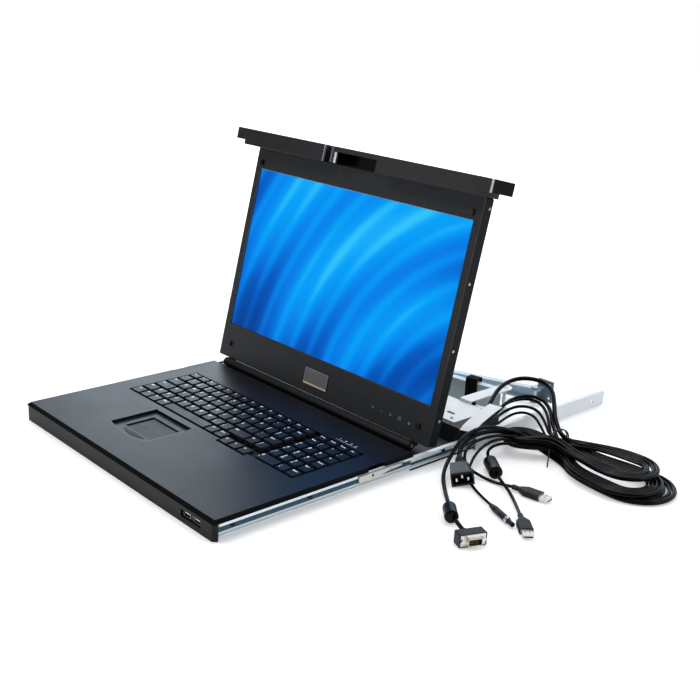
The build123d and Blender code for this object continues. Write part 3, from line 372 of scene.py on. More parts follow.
class Finish(Graph):
    """A material that is built from expressions, on the object's own coordinates."""

    def __init__(self, name):
        self.material = bpy.data.materials.new(name)
        self.material.use_nodes = True
        super().__init__(self.material.node_tree)
        self.tree.nodes.clear()
        self.place = self.node("ShaderNodeTexCoord", {}, {}, "Object")

    def noise(self, scale, detail=2.0, roughness=0.5, place=None):
        """Cloudy noise."""
        values = {"Vector": place or self.place, "Scale": scale, "Detail": detail, "Roughness": roughness}
        return self.node("ShaderNodeTexNoise", {}, values)

    def cloud(self, scale, detail=3.0, roughness=0.5):
        """A slow mottle."""
        return self.noise(scale, detail, roughness).between(0.3, 0.7)

    def lines(self, scale):
        """Fine lines: noise that is stretched by a scale for each axis."""
        place = self.node("ShaderNodeMapping", {}, {"Vector": self.place, "Scale": scale})
        return self.noise(1.0, 3.0, 0.6, place)

    def marks(self):
        """Handling marks on paint."""
        return self.noise(9.0, 4.0, 0.6).between(0.35, 0.7)

    def cells(self, scale):
        """Small cells, dark in the middle."""
        return self.node("ShaderNodeTexVoronoi", {}, {"Vector": self.place, "Scale": scale})

    def bump(self, height, distance, strength=1.0):
        """A bump in metres."""
        values = {"Height": height, "Distance": distance, "Strength": strength}
        return self.node("ShaderNodeBump", {}, values)

    def peel(self):
        """The orange peel of powder paint."""
        return self.bump(self.noise(900.0, 2.0), 0.00002, 0.6)

    def along(self, origin, axis):
        """The distance in millimetres from a place, measured along a direction."""
        product = {"operation": "DOT_PRODUCT"}
        dot = self.node("ShaderNodeVectorMath", product, {0: self.place, 1: axis}, "Value")
        return (dot - origin.dot(axis)) * 1000.0

    def in_plug(self, plug):
        """Distances across, up and out of a plug's face, in millimetres."""
        origin, *axes = plug
        return [self.along(origin, axis) for axis in axes]

    def surface(self, **values):
        """Ends the graph in a Principled shader. Names use _ for a space."""
        sockets = {key.replace("_", " "): value for key, value in values.items()}
        for key in ("Base Color", "Emission Color"):
            if key in sockets and not isinstance(sockets[key], Wire):
                sockets[key] = (*sockets[key], 1.0)
        shader = self.node("ShaderNodeBsdfPrincipled", {}, sockets)
        output = self.tree.nodes.new("ShaderNodeOutputMaterial")
        self.tree.links.new(shader.socket, output.inputs["Surface"])
        return self.material


# %% [markdown]
# ## Paint, steel, plastic and rubber
# Six families cover most of the drawer. Paint on steel has a fine orange-peel grain and faint
# handling marks. Plated steel has fine rolling lines over a slow mottle, and zinc a pale crystal
# mottle. Moulded plastic has a spark-eroded grain. The cords' jacket is smooth and shows sharp
# highlights. Hook-and-loop tape hardly shines.

# %% The six families
def lighter(colour, factor, lift):
    """A brighter version of a colour."""
    return tuple(min(1.0, part * factor + lift) for part in colour)


def painted(name, colour, roughness=0.42, specular=0.25):
    """Powder paint: an orange-peel grain, and handling marks that change the gloss."""
    finish = Finish(name)
    marks = finish.marks()
    shade = finish.mix(marks * 0.25, colour, lighter(colour, 1.25, 0.001))
    return finish.surface(Base_Color=shade, Roughness=roughness - 0.03 + 0.06 * marks,
                          Normal=finish.peel(), Specular_IOR_Level=specular)


def plated(name, colour, roughness=0.3, along=(1, 1, 1)):
    """Plated steel: fine lines along the rolling direction over a slow mottle."""
    finish = Finish(name)
    lines = finish.lines(tuple(2200.0 if a else 40.0 for a in along))
    cloud = finish.cloud(45.0, 4.0, 0.6)
    shade = finish.mix(cloud * 0.15 + lines * 0.2, colour, lighter(colour, 0.78, 0))
    return finish.surface(Base_Color=shade, Metallic=1.0, Roughness=roughness - 0.08 + 0.16 * lines,
                          Normal=finish.bump(lines, 0.00001, 0.3))


def zinc_painted(name, colour):
    """Pale zinc plate: a diffuse blue-white with a faint crystal mottle."""
    finish = Finish(name)
    crystals = finish.cells(260.0)
    cloud = finish.cloud(30.0, 4.0, 0.6)
    shade = finish.mix(cloud * 0.5 + crystals * 0.25, colour, lighter(colour, 0.88, 0))
    return finish.surface(Base_Color=shade, Metallic=0.1, Roughness=0.4 + 0.1 * cloud,
                          Normal=finish.bump(crystals, 0.00002, 0.3))


def moulded(name, colour, roughness=0.5, grain=0.00003, scale=1400.0, specular=0.25):
    """Moulded plastic: a spark-eroded grain, and a slightly uneven gloss."""
    finish = Finish(name)
    cloud = finish.cloud(30.0)
    shade = finish.mix(cloud * 0.3, colour, lighter(colour, 1.2, 0.0005))
    return finish.surface(Base_Color=shade, Roughness=roughness - 0.04 + 0.08 * cloud,
                          Normal=finish.bump(finish.noise(scale, 2.0, 0.6), grain, 0.5),
                          Specular_IOR_Level=specular)


def rubber(name, colour):
    """A cord's jacket: smooth, with slow waves from the extruder and a little dust."""
    finish = Finish(name)
    dust = finish.noise(60.0, 5.0, 0.7).between(0.55, 0.85)
    shade = finish.mix(dust * 0.1, colour, lighter(colour, 1.0, 0.01))
    return finish.surface(Base_Color=shade, Roughness=0.2 + 0.15 * dust,
                          Normal=finish.bump(finish.noise(120.0, 2.0), 0.0002, 0.2),
                          Specular_IOR_Level=0.12)


def woven(name, colour):
    """Hook-and-loop tape: a dense pile of tiny loops that hardly shines."""
    finish = Finish(name)
    pile = finish.cells(900.0)
    shade = finish.mix(pile, colour, lighter(colour, 2.2, 0.001))
    return finish.surface(Base_Color=shade, Roughness=0.92, Normal=finish.bump(pile, 0.0006, 0.8),
                          Specular_IOR_Level=0.2)


# %% [markdown]
# ## Finishes that change across one piece
# Some pieces join two materials in one solid: a plug with its steel shell, or a slide's channel
# with a painted highlight on its lips and painted shade on its floor. Their masks are distances
# along the piece's own directions, in millimetres, so they stay with the piece and need no picture.

# %% Two materials in one piece
BLACK_PLASTIC = (0.007, 0.007, 0.009)
SHELL_STEEL = (0.86, 0.83, 0.77)


def half_metal(finish, metal, steel, plastic, rough_steel=0.22, rough_plastic=0.38):
    """Ends a finish that is steel where a mask is 1 and plastic where it is 0."""
    pits = finish.noise(1100.0, 2.0, 0.6)
    cloud = finish.cloud(60.0)
    rough = rough_plastic + (rough_steel - rough_plastic) * metal + 0.06 * cloud
    return finish.surface(Base_Color=finish.mix(metal, plastic, steel), Metallic=metal, Roughness=rough,
                          Normal=finish.bump(pits, 0.00002, 0.4), Specular_IOR_Level=0.3)


def power_plug_finish(name):
    """Black moulding with three bright blades in its recess, and painted shade that darkens the recess."""
    finish = Finish(name)
    across, up, out = finish.in_plug(POWER_PLUG)
    blades = either([
        across.near(middle, 1.15) * up.near(height, 2.15) * out.near(-8.0, 6.6)
        for middle, height in ((-7.0, -1.6), (0.0, 2.0), (7.0, -1.6))
    ])
    # Painted shade: the recess round the blades is made near black.
    recess = across.near(0.0, 12.2) * up.near(0.0, 6.7) * out.near(-7.0, 6.9)
    body = finish.mix(recess, (0.016, 0.0165, 0.018), (0.001, 0.001, 0.001))
    return half_metal(finish, blades, (0.95, 0.92, 0.85), body, 0.25, 0.42)


def video_plug_finish(name):
    """Black hood, bright face plate and shell, black insert."""
    finish = Finish(name)
    across, up, out = finish.in_plug(VIDEO_PLUG)
    plate = across.near(0.0, 14.9) * up.near(0.0, 6.6) * out.near(3.0, 3.15)
    insert = across.near(0.0, 7.6) * up.near(0.0, 3.4) * out.near(1.6, 1.75)
    shell = across.near(0.0, 9.0) * up.near(0.0, 4.6) * out.between(0.3, 1.2)
    steel = finish.mix(shell, (0.90, 0.90, 0.90), (0.85, 0.74, 0.56))
    hood = finish.mix(insert, (0.012, 0.012, 0.013), (0.010, 0.006, 0.005))
    return half_metal(finish, plate * (1 - insert), steel, hood, 0.28, 0.38)


def usb_plugs_finish(name):
    """Slate overmoulds, steel shells with two square windows, black tongues."""
    finish = Finish(name)
    shells, windows = [], []
    for plug in USB_PLUGS:
        across, up, out = finish.in_plug(plug)
        shell = across.near(0.0, 6.2) * up.near(0.0, 2.5) * out.near(-6.0, 6.1)
        hollow = across.near(0.0, 5.3) * up.near(-0.8, 0.85) * out.near(-6.0, 6.2)
        shells.append(shell * (1 - hollow))
        windows.append(across.math("ABSOLUTE").near(2.4, 0.95) * out.near(-6.2, 1.1) * shell)
    window = either(windows)
    plastic = finish.mix(window, (0.014, 0.015, 0.018), (0.002, 0.002, 0.002))
    return half_metal(finish, either(shells) * (1 - window), SHELL_STEEL, plastic, 0.2, 0.5)


def slim_plug_finish(name):
    """A black body with a ribbed grey window, a metal collar and a black tip."""
    finish = Finish(name)
    across, up, out = finish.in_plug(SLIM_PLUG)
    girth = (across ** 2 + up ** 2) ** 0.5
    collar = out.near(-12.0, 2.1) * girth.between(2.9, 3.1)
    ribs = out.near(-30.0, 4.5) * (out * 4.0).math("SINE").between(-0.2, 0.2)
    plastic = finish.mix(ribs, BLACK_PLASTIC, (0.05, 0.05, 0.055))
    return half_metal(finish, collar, (0.85, 0.85, 0.84), plastic, 0.2, 0.35)


def rail_finish(name, lip):
    """A slide member: a painted highlight on lips beyond a distance from the middle, painted shade in its
    striped channel.
    """
    finish = Finish(name)
    far = finish.along(Vector(), RIGHT).math("ABSOLUTE")
    height = finish.along(Vector(), UP)
    back = finish.along(on_deck(0, 0, 0), BACK)
    rear = back.between(291.0, 297.0)
    # Painted shade: a dark striped band on the channel's floor, set lower at the rear.
    shadow = height.near(12.9, 3.2, 0.5) * (1 - rear) + height.near(10.2, 1.9, 0.5) * rear
    stripes = (height * 4.2).math("SINE").between(-0.6, 0.6)
    nicks = back.near(25.0, 1.4).most(back.near(133.0, 1.4))
    # Painted highlight: the outer lips stay pale over the painted shade, except at two short gaps.
    bright = far.between(lip - 0.15, lip + 0.05) * height.between(15.0, 15.4) * (1 - nicks)
    lines = finish.lines((60.0, 30.0, 2400.0))
    dark = finish.mix(stripes, (0.015, 0.04, 0.06), (0.06, 0.13, 0.16))
    pale = finish.mix(lines * 0.3, (0.90, 0.94, 0.97), (0.72, 0.78, 0.82))
    painted_channel_shade = shadow * (1 - bright)
    return finish.surface(Base_Color=finish.mix(painted_channel_shade, pale, dark), Metallic=0.3 + 0.3 * painted_channel_shade,
                          Roughness=0.36 + 0.12 * lines, Normal=finish.bump(lines, 0.00001, 0.3))


def badge_finish(name):
    """A bare brushed plate with a thin gold line round its edge."""
    finish = Finish(name)
    x = finish.along(on_lid(-0.7, -27.6), RIGHT).math("ABSOLUTE")
    v = finish.along(on_lid(-0.7, -27.6), UP_LID).math("ABSOLUTE")
    v_down = finish.along(on_lid(0, -38.0), UP_LID)
    line = x.near(22.7, 0.4).most(v.near(10.7, 0.4))
    gold = v_down.near(1.0, 1.0)
    brushed = finish.lines((60.0, 2600.0, 2600.0))
    face = finish.mix(brushed * 0.5, (0.13, 0.13, 0.135), (0.19, 0.19, 0.195))
    shade = finish.mix(gold, finish.mix(line, face, (0.32, 0.32, 0.33)), (0.85, 0.66, 0.30))
    return finish.surface(Base_Color=shade, Metallic=0.25, Roughness=0.32 + 0.1 * brushed,
                          Normal=finish.bump(brushed, 0.00001, 0.3))


def bezel_finish(name):
    """Slate paint, and the picture window's bevel, with painted highlights on its top and left edges."""
    finish = Finish(name)
    corner = on_lid(-PICTURE_WIDTH / 2, PICTURE_HEIGHT)
    x, v = finish.along(corner, RIGHT), finish.along(corner, UP_LID)
    # Painted highlights: a warm pale line on the window's top edge and a cooler grey one on its left edge.
    top = v.near(0.45, 0.4, 0.3) * x.near(PICTURE_WIDTH / 2, PICTURE_WIDTH / 2)
    left = x.near(-0.5, 0.35, 0.3) * v.near(-PICTURE_HEIGHT / 2, PICTURE_HEIGHT / 2)
    marks = finish.marks()
    paint = finish.mix(marks * 0.3, (0.015, 0.017, 0.019), (0.020, 0.0225, 0.025))
    paint_with_edge_highlights = finish.mix(left * 0.6, finish.mix(top * 0.75, paint, (0.42, 0.38, 0.31)), (0.20, 0.23, 0.26))
    return finish.surface(Base_Color=paint_with_edge_highlights, Roughness=0.44 + 0.05 * marks,
                          Normal=finish.peel(), Specular_IOR_Level=0.35)


def bar_finish(name):
    """Satin black: painted highlights on edges by the latch and at the right end, painted shade in the recess
    and end face.
    """
    finish = Finish(name)
    x = finish.along(Vector(), RIGHT)
    out = finish.along(on_lid(0, 0), OUT_OF_LID)
    v = finish.along(on_lid(0, 0), UP_LID)
    # Painted highlights: pale lines on the front face beside the latch and at the right end.
    edge_highlights = x.near(-50.5, 0.45, 0.3).most(x.near(241.0, 0.6, 0.4)) * out.between(21.5, 22.5)
    # Painted shade: the recess and the right end face are made deep black and metallic.
    hollow = x.near(0.5, 50.2) * out.between(24.6, 24.2) * v.between(277.6, 276.9)
    recess_and_end_shade = hollow.most(x.between(241.1, 241.25))
    pits = finish.noise(1400.0, 2.0, 0.6)
    cloud = finish.cloud(14.0)
    satin = finish.mix(cloud * 0.3, (0.0045, 0.0045, 0.0058), (0.008, 0.008, 0.0098))
    black = finish.mix(recess_and_end_shade, satin, (0.003, 0.003, 0.004))
    return finish.surface(Base_Color=finish.mix(edge_highlights, black, (0.62, 0.62, 0.62)), Metallic=recess_and_end_shade * 0.85,
                          Roughness=0.34 + 0.06 * cloud, Normal=finish.bump(pits, 0.00001, 0.5),
                          Specular_IOR_Level=0.45)


POINTER_X, POINTER_HALF = -50.0, 41.0


def deck_finish(name):
    """Satin paint, painted shade that makes the rims deep black, and a painted highlight on the lip round the
    pointer recess.
    """
    finish = Finish(name)
    x = finish.along(on_deck(POINTER_X, 0, 0), RIGHT)
    back = finish.along(on_deck(0, 0, 0), BACK)
    height = finish.along(Vector(), UP)
    side = (x + POINTER_X).math("ABSOLUTE")
    # Painted shade: the side faces and the front edge are made deep black and metallic.
    rim_shade = either([height.between(24.12, 24.0), side.between(206.3, 206.9), back.between(3.6, 3.0)])
    bow = back + 5.0 * (1 - (x * (1 / 40.5)) ** 2)
    # Painted highlight: a pale line along the front and right lip of the pointer recess.
    front_lip_highlight = bow.near(54.3, 0.35, 0.3) * x.near(0.0, POINTER_HALF)
    side_lip_highlight = x.near(POINTER_HALF + 0.2, 0.35, 0.3) * back.near(89.0, 34.0)
    lip = front_lip_highlight.most(side_lip_highlight)
    marks = finish.marks()
    paint = finish.mix(marks * 0.25, (0.0042, 0.0048, 0.0058), (0.0062, 0.0068, 0.0080))
    shade = finish.mix(rim_shade, finish.mix(lip * 0.5, paint, (0.16, 0.18, 0.20)), (0.0035, 0.0035, 0.0035))
    return finish.surface(Base_Color=shade, Metallic=rim_shade * 0.9, Roughness=0.38 + 0.05 * marks,
                          Normal=finish.peel(), Specular_IOR_Level=0.28)


def latch_finish(name):
    """A grey roller post, and a painted highlight on the plate's front edge."""
    finish = Finish(name)
    x = finish.along(Vector(), RIGHT)
    out = finish.along(on_lid(0, 0), OUT_OF_LID)
    # Painted highlight: a white band on the plate's front edge.
    front_edge_highlight = x.near(-28.6, 2.0) * out.between(18.0, 18.6)
    post = x.between(-32.2, -32.6)
    metal = finish.mix(post, (0.004, 0.004, 0.005), (0.20, 0.20, 0.21))
    shade = finish.mix(front_edge_highlight, metal, (0.85, 0.85, 0.85))
    grain = finish.noise(700.0, 2.0)
    return finish.surface(Base_Color=shade, Metallic=post * 0.8, Roughness=0.25 + 0.05 * grain,
                          Normal=finish.bump(grain, 0.00001, 0.4))


# %% [markdown]
# ## The picture on the screen
# The lit panel shows a plain blue design of broad rings, brighter towards the top. The
# rings are distances from two points off the screen, so they need no picture file. The object's
# coordinates are turned into v, the distance up the tilted lid.

# %% The lit screen
def lit_picture(name):
    """Blue rings of light on the tilted picture."""
    finish = Finish(name)
    foot = on_lid(-PICTURE_WIDTH / 2, 0)
    across = finish.along(foot, RIGHT) * (1 / PICTURE_WIDTH)
    up = finish.along(foot, UP_LID) * (1 / PICTURE_WIDTH)
    drift = finish.noise(4.0, 1.0, 0.4)

    def rings(centre_x, centre_y, spacing, phase):
        far = ((across - centre_x) ** 2 + (up - centre_y) ** 2) ** 0.5 + drift * 0.05
        return (far * (2 * math.pi / spacing) + phase).math("SINE") * 0.5 + 0.5

    wide = rings(1.15, -0.35, 0.31, 0.4)
    fine = rings(1.25, -0.15, 0.085, 1.0) ** 2.0
    glow = ((across - 0.55) ** 2 + (up - 0.60) ** 2).between(0.62, 0.0)
    shade = wide * 0.30 + fine * 0.17 + glow * 0.55
    stops = [
        (0.0, (0.0, 0.045, 0.27)), (0.3, (0.0, 0.10, 0.52)), (0.55, (0.0, 0.23, 0.84)),
        (0.8, (0.0, 0.36, 0.95)), (1.0, (0.03, 0.55, 0.98)),
    ]
    colour = finish.node("ShaderNodeValToRGB", {"stops": stops}, {0: shade})
    return finish.surface(Base_Color=(0.002, 0.003, 0.005), Roughness=0.35, Specular_IOR_Level=0.02,
                          Emission_Color=colour, Emission_Strength=1.0)


# %% Finishes for the CAD pieces
cast = set()


def dress(names, material):
    """Gives one material to each piece that is named."""
    for name in names.split():
        slots = nodes[name].data.materials
        slots.clear()
        slots.append(material)
        cast.add(name)
    return material


dress("deck_plate", deck_finish("deck_paint"))
dress("front_panel", painted("panel_paint", (0.010, 0.010, 0.010), 0.40))
dress("tray_pan hinge_barrel rear_chassis chassis_cover hinge_knuckles",
      painted("chassis_paint", (0.004, 0.004, 0.0045), 0.42))
dress("keys_function_row keys_number_row keys_main_rows space_bar keys_arrows keys_number_pad",
      moulded("key_plastic", (0.0048, 0.0056, 0.0072), 0.40))
dress("keyboard_base", moulded("base_plastic", (0.0015, 0.0015, 0.002), 0.6, specular=0.3))
dress("touchpad_frame", moulded("pad_plastic", (0.0045, 0.0052, 0.0065), 0.38, specular=0.28))
dress("touchpad_plate", moulded("pad_surface", (0.0035, 0.0042, 0.0052), 0.42, specular=0.2))
dress("touchpad_button_left touchpad_button_right",
      moulded("button_plastic", (0.0015, 0.0018, 0.0022), 0.4, specular=0.15))
dress("lcd_bezel", bezel_finish("bezel_paint"))
dress("lcd_back_cover", painted("cover_paint", (0.007, 0.0075, 0.0085), 0.46, specular=0.14))
dress("fascia_bar", bar_finish("bar_plastic"))
dress("latch_slider", latch_finish("latch_metal"))
dress("inner_slide_left inner_slide_right", rail_finish("inner_rail", 212.9))
dress("outer_slide_left outer_slide_right", zinc_painted("outer_rail", (0.94, 0.955, 0.97)))
dress("rear_plate arm_bracket", zinc_painted("zinc", (0.93, 0.945, 0.96)))
dress("cable_arm_inner cable_arm_outer", zinc_painted("arm_zinc", (0.66, 0.78, 0.86)))
dress("arm_end_bracket", painted("bracket_paint", (0.15, 0.21, 0.27), 0.35, specular=0.5))
dress("hinge_pins arm_pivot_pin elbow_pin end_pin ball_cages slide_balls",
      plated("bright_steel", (0.75, 0.75, 0.76), 0.2))
dress("release_lever_left release_lever_right", plated("lever_steel", (0.80, 0.75, 0.66), 0.34, (1, 0, 1)))
nickel = dress("usb_sockets", plated("nickel", (0.86, 0.85, 0.80), 0.18))
cord_rubber = rubber("cord_rubber", (0.0012, 0.0012, 0.0015))
for piece in cord_pieces:
    piece.data.materials.append(cord_rubber)
ferrite_rubber = dress("ferrite_cores", moulded("ferrite_rubber", (0.005, 0.005, 0.006), 0.28))
dress("cable_clamp", moulded("clamp_plastic", (0.006, 0.006, 0.007), 0.4))
dress("power_plug", power_plug_finish("power_plug"))
dress("video_plug", video_plug_finish("video_plug"))
dress("usb_plugs", usb_plugs_finish("usb_plugs"))
dress("slim_plug", slim_plug_finish("slim_plug"))
dress("usb_insert", moulded("insert_plastic", (0.004, 0.004, 0.0045), 0.3))
dress("cable_strap", woven("strap_fabric", (0.0012, 0.0012, 0.0014)))
dress("main_board lcd_driver_board", painted("green_board", (0.01, 0.10, 0.04), 0.35))
dress("power_module", plated("module_can", (0.6, 0.61, 0.62), 0.35, (0, 1, 1)))
dress("badge_plate", badge_finish("badge_metal"))
dress("lid_bumpers", moulded("bumper_rubber", (0.0015, 0.0015, 0.0015), 0.25, 0.00001))
dress("lcd_module", lit_picture("lit_picture"))
print("CAD pieces still plain:", sorted(set(nodes) - cast - set(CORDS) - {"cord_hank"}))

# %% [markdown]
# ## Legends on the keys
# Each cap carries a small pad-printed legend near its upper left corner. The places come from
# the caps themselves: a merged copy of a key group falls into islands, one for each cap, and the
# top of each island is its face. The legends are flat text made into a mesh, a hair above it.

# %% Text as a mesh
def add_text(mesh, words, matrix, size, align="LEFT"):
    """Adds a line of text to a bmesh, flat in the matrix's XY plane, with a letter size in metres."""
    face = bpy.data.curves.new("words", "FONT")
    face.body, face.size, face.resolution_u, face.offset = words, size, 2, 0.03 * size
    face.align_x, face.align_y = align, "TOP"
    holder = bpy.data.objects.new("words", face)
    flat = bpy.data.meshes.new_from_object(holder)
    flat.transform(matrix)
    mesh.from_mesh(flat)
    bpy.data.meshes.remove(flat)
    bpy.data.curves.remove(face)


def add_piece(name, data, body):
    """Makes a mesh a piece that rides on a body."""
    piece = bpy.data.objects.new(name, data)
    scene.collection.objects.link(piece)
    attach(piece, body)
    print(name, len(data.polygons), "faces")


def finish_piece(name, mesh, body, material):
    """Turns a bmesh into a piece with one material."""
    data = bpy.data.meshes.new(name)
    mesh.to_mesh(data)
    mesh.free()
    data.materials.append(material)
    add_piece(name, data, body)


def caps_of(name):
    """The middle and the half sizes of each cap's top, row by row from the back."""
    mesh = bmesh.new()
    mesh.from_mesh(nodes[name].data)
    bmesh.ops.remove_doubles(mesh, verts=mesh.verts, dist=1e-6)
    left, tops = set(mesh.verts), []
    while left:
        island, edge = set(), [left.pop()]
        while edge:
            vert = edge.pop()
            island.add(vert)
            for other in (link.other_vert(vert) for link in vert.link_edges):
                if other in left:
                    left.discard(other)
                    edge.append(other)
        high = max(vert.co.z for vert in island)
        top = [vert.co for vert in island if vert.co.z > high - 0.1 * MM]
        low, far = (Vector([pick(place[k] for place in top) for k in range(3)]) for pick in (min, max))
        tops.append(((low + far) / 2, (far - low) / 2))
    mesh.free()
    return sorted(tops, key=lambda top: (-round(top[0].y / 0.007), top[0].x))


# %% The legends
LEGENDS = {
    "keys_function_row": "Esc F1 F2 F3 F4 F5 F6 F7 F8 F9 F10 F11 F12 Ins",
    "keys_number_row": "` 1 2 3 4 5 6 7 8 9 0 - = Back",
    "keys_main_rows": "Tab Q W E R T Y U I O P [ ] | Caps A S D F G H J K L ; ' Enter "
                      "Shift Z X C V B N M , . Shift Up / Ctrl Fn Alt Menu Alt Ctrl",
    "keys_arrows": "< v >",
    "keys_number_pad": "PrtSc ScrLk Pause Del Num / * - 7 8 9 + 4 5 6 Home 1 2 3 End 0 . Enter",
}
SHIFTED = dict(zip("`1234567890-=[]|;',./", "~!@#$%^&*()_+{}\\:\"<>?"))
LETTER_SIZE, WORD_SIZE = 6.2 * MM, 3.9 * MM
INK_HEIGHT, INK_MARGIN = 0.04 * MM, 0.8 * MM
ink = moulded("ink", (0.86, 0.90, 0.92), 0.5)
for name, words in LEGENDS.items():
    legend = bmesh.new()
    caps = caps_of(name)
    for (middle, half), word in zip(caps, words.split()):
        size = LETTER_SIZE if len(word) == 1 else WORD_SIZE
        corner = middle + Vector((INK_MARGIN - half.x, half.y - INK_MARGIN, INK_HEIGHT))
        add_text(legend, word, Matrix.Translation(corner), size)
        if word in SHIFTED:
            lower = corner + Vector((0, -0.9 * half.y, 0))
            add_text(legend, SHIFTED[word], Matrix.Translation(lower), WORD_SIZE)
    finish_piece("legends_" + name, legend, name, ink)
    print(len(caps), "caps,", len(words.split()), "legends")

# %% [markdown]
# ## Marks on the deck and on the lid
# Four lock marks stand over a thin line behind the number pad. Five small touch marks stand in
# a row at the lid's lower right, for a menu that opens on the screen.

# %% Lock marks and touch marks
def add_bar(mesh, middle, across, upward, size, depth=0.05 * MM):
    """Adds a thin printed bar, or a plate if it is given a depth."""
    made = bmesh.ops.create_cube(mesh, size=1.0)["verts"]
    shape = Matrix.Diagonal((size[0], size[1], depth, 1.0))
    bmesh.ops.transform(mesh, verts=made, matrix=turned(middle, across, upward) @ shape)


marks = bmesh.new()
LOCK_MARKS = {"1": 124.0, "A": 134.0, "S": 144.0, "o": 153.0}
for word, x in LOCK_MARKS.items():
    add_text(marks, word, turned(on_deck(x, 256.5, DECK_TOP + 0.05), RIGHT, BACK), 4.4 * MM, "CENTER")
add_bar(marks, on_deck(138.5, 250.6, DECK_TOP + 0.03), RIGHT, BACK, (36 * MM, 0.5 * MM))
finish_piece("lock_marks", marks, "drawer", ink)

TOUCH_MARKS = {"+": 113.4, "-": 129.3, ">": 145.6, "o": 178.8}
TOUCH_LINE, MENU_X = -30.2, 162.2
touch_ink = moulded("touch_ink", (0.30, 0.33, 0.36), 0.45)
marks = bmesh.new()
for word, x in TOUCH_MARKS.items():
    add_text(marks, word, turned(on_lid(x, TOUCH_LINE + 2.4, 0.05), RIGHT, UP_LID), 6.5 * MM, "CENTER")
MENU_BARS = ((0, 2, 5, 0.5), (0, -2, 5, 0.5), (-2.3, 0, 0.5, 4), (2.3, 0, 0.5, 4), (0, 0, 3, 0.5))
for x, v, wide, high in MENU_BARS:
    spot = on_lid(MENU_X + x, TOUCH_LINE + v, 0.05)
    add_bar(marks, spot, RIGHT, UP_LID, (wide * MM, high * MM))
finish_piece("touch_marks", marks, "lid", touch_ink)

# %% [markdown]
# ## Screws from one Geometry Nodes tree
# A screw head is a short cone with a cross cut into it. The tree makes one head from named sizes
# and copies it to every point of a cloud, turned to the point's own direction. The copies are
# made real and the result is kept as a plain mesh, so nothing depends on the tree afterwards.

# %% A tree of screw heads
class CopyTree(Graph):
    """A Geometry Nodes tree that copies one shape to every point of a cloud."""

    def __init__(self, name, sizes):
        super().__init__(bpy.data.node_groups.new(name, "GeometryNodeTree"))
        port = self.tree.interface.new_socket
        port("Geometry", in_out="INPUT", socket_type="NodeSocketGeometry")
        port("Geometry", in_out="OUTPUT", socket_type="NodeSocketGeometry")
        self.inputs = {}
        for size_name, value in sizes.items():
            socket = port(size_name, in_out="INPUT", socket_type="NodeSocketFloat")
            socket.default_value = value
            self.inputs[size_name] = socket.identifier
        self.start = self.tree.nodes.new("NodeGroupInput")
        self.end = self.tree.nodes.new("NodeGroupOutput")

    def given(self, name):
        """One of the tree's named inputs."""
        return Wire(self, self.start.outputs[name])

    def scatter(self, shape, material):
        """Copies a shape to every point, turned to the point's direction, and makes it real."""
        named = {"data_type": "FLOAT_VECTOR"}
        facing = self.node("GeometryNodeInputNamedAttribute", named, {"Name": "facing"})
        turn = self.node("FunctionNodeAlignRotationToVector", {"axis": "Z"}, {"Vector": facing})
        points = {"Points": self.given("Geometry"), "Instance": shape, "Rotation": turn}
        copies = self.node("GeometryNodeInstanceOnPoints", {}, points)
        real = self.node("GeometryNodeRealizeInstances", {}, {"Geometry": copies})
        finished = self.node("GeometryNodeSetMaterial", {}, {"Geometry": real, "Material": material})
        self.tree.links.new(finished.socket, self.end.inputs["Geometry"])


def plain_mesh(name, thing):
    """The mesh that an object comes to, once its modifiers have run. The object is removed."""
    seen = thing.evaluated_get(bpy.context.evaluated_depsgraph_get())
    plain = bpy.data.meshes.new_from_object(seen)
    plain.name = name
    bpy.data.objects.remove(thing)
    return plain


def bake_points(name, tree, spots, sizes, body="drawer"):
    """Runs a tree on a cloud of (place, direction) points and keeps the plain mesh."""
    cloud = bpy.data.meshes.new(name + "_points")
    cloud.from_pydata([place for place, _ in spots], [], [])
    facing = cloud.attributes.new("facing", "FLOAT_VECTOR", "POINT")
    for item, (_, direction) in zip(facing.data, spots):
        item.vector = direction
    seed = bpy.data.objects.new(name + "_points", cloud)
    scene.collection.objects.link(seed)
    modifier = seed.modifiers.new("grow", "NODES")
    modifier.node_group = tree.tree
    for size_name, value in sizes.items():
        modifier[tree.inputs[size_name]] = value
    add_piece(name, plain_mesh(name, seed), body)


black_screw = plated("black_screw", (0.03, 0.03, 0.033), 0.3)
pale_screw = plated("pale_screw", (0.66, 0.67, 0.68), 0.25)


def screw_tree(name, material):
    """Cross-headed screws."""
    tree = CopyTree(name, {"Head radius": 2.4 * MM, "Head height": 1.0 * MM, "Cross width": 0.6 * MM})
    radius, height, width = map(tree.given, ("Head radius", "Head height", "Cross width"))
    head = {"Vertices": 20, "Radius Top": radius * 0.78, "Radius Bottom": radius, "Depth": height}
    cone = tree.node("GeometryNodeMeshCone", {}, head)
    arm = radius * 1.15
    lift = tree.node("ShaderNodeCombineXYZ", {}, {2: height})
    blades = []
    for x, y in ((arm, width), (width, arm)):
        size = tree.node("ShaderNodeCombineXYZ", {}, {0: x, 1: y, 2: height})
        box = tree.node("GeometryNodeMeshCube", {}, {"Size": size})
        blades.append(tree.node("GeometryNodeTransform", {}, {"Geometry": box, "Translation": lift}))
    solids = {"Mesh 1": cone, "Mesh 2": blades}
    tree.scatter(tree.node("GeometryNodeMeshBoolean", {"operation": "DIFFERENCE"}, solids), material)
    return tree


black_screws = screw_tree("black_screws", black_screw)
pale_screws = screw_tree("pale_screws", pale_screw)

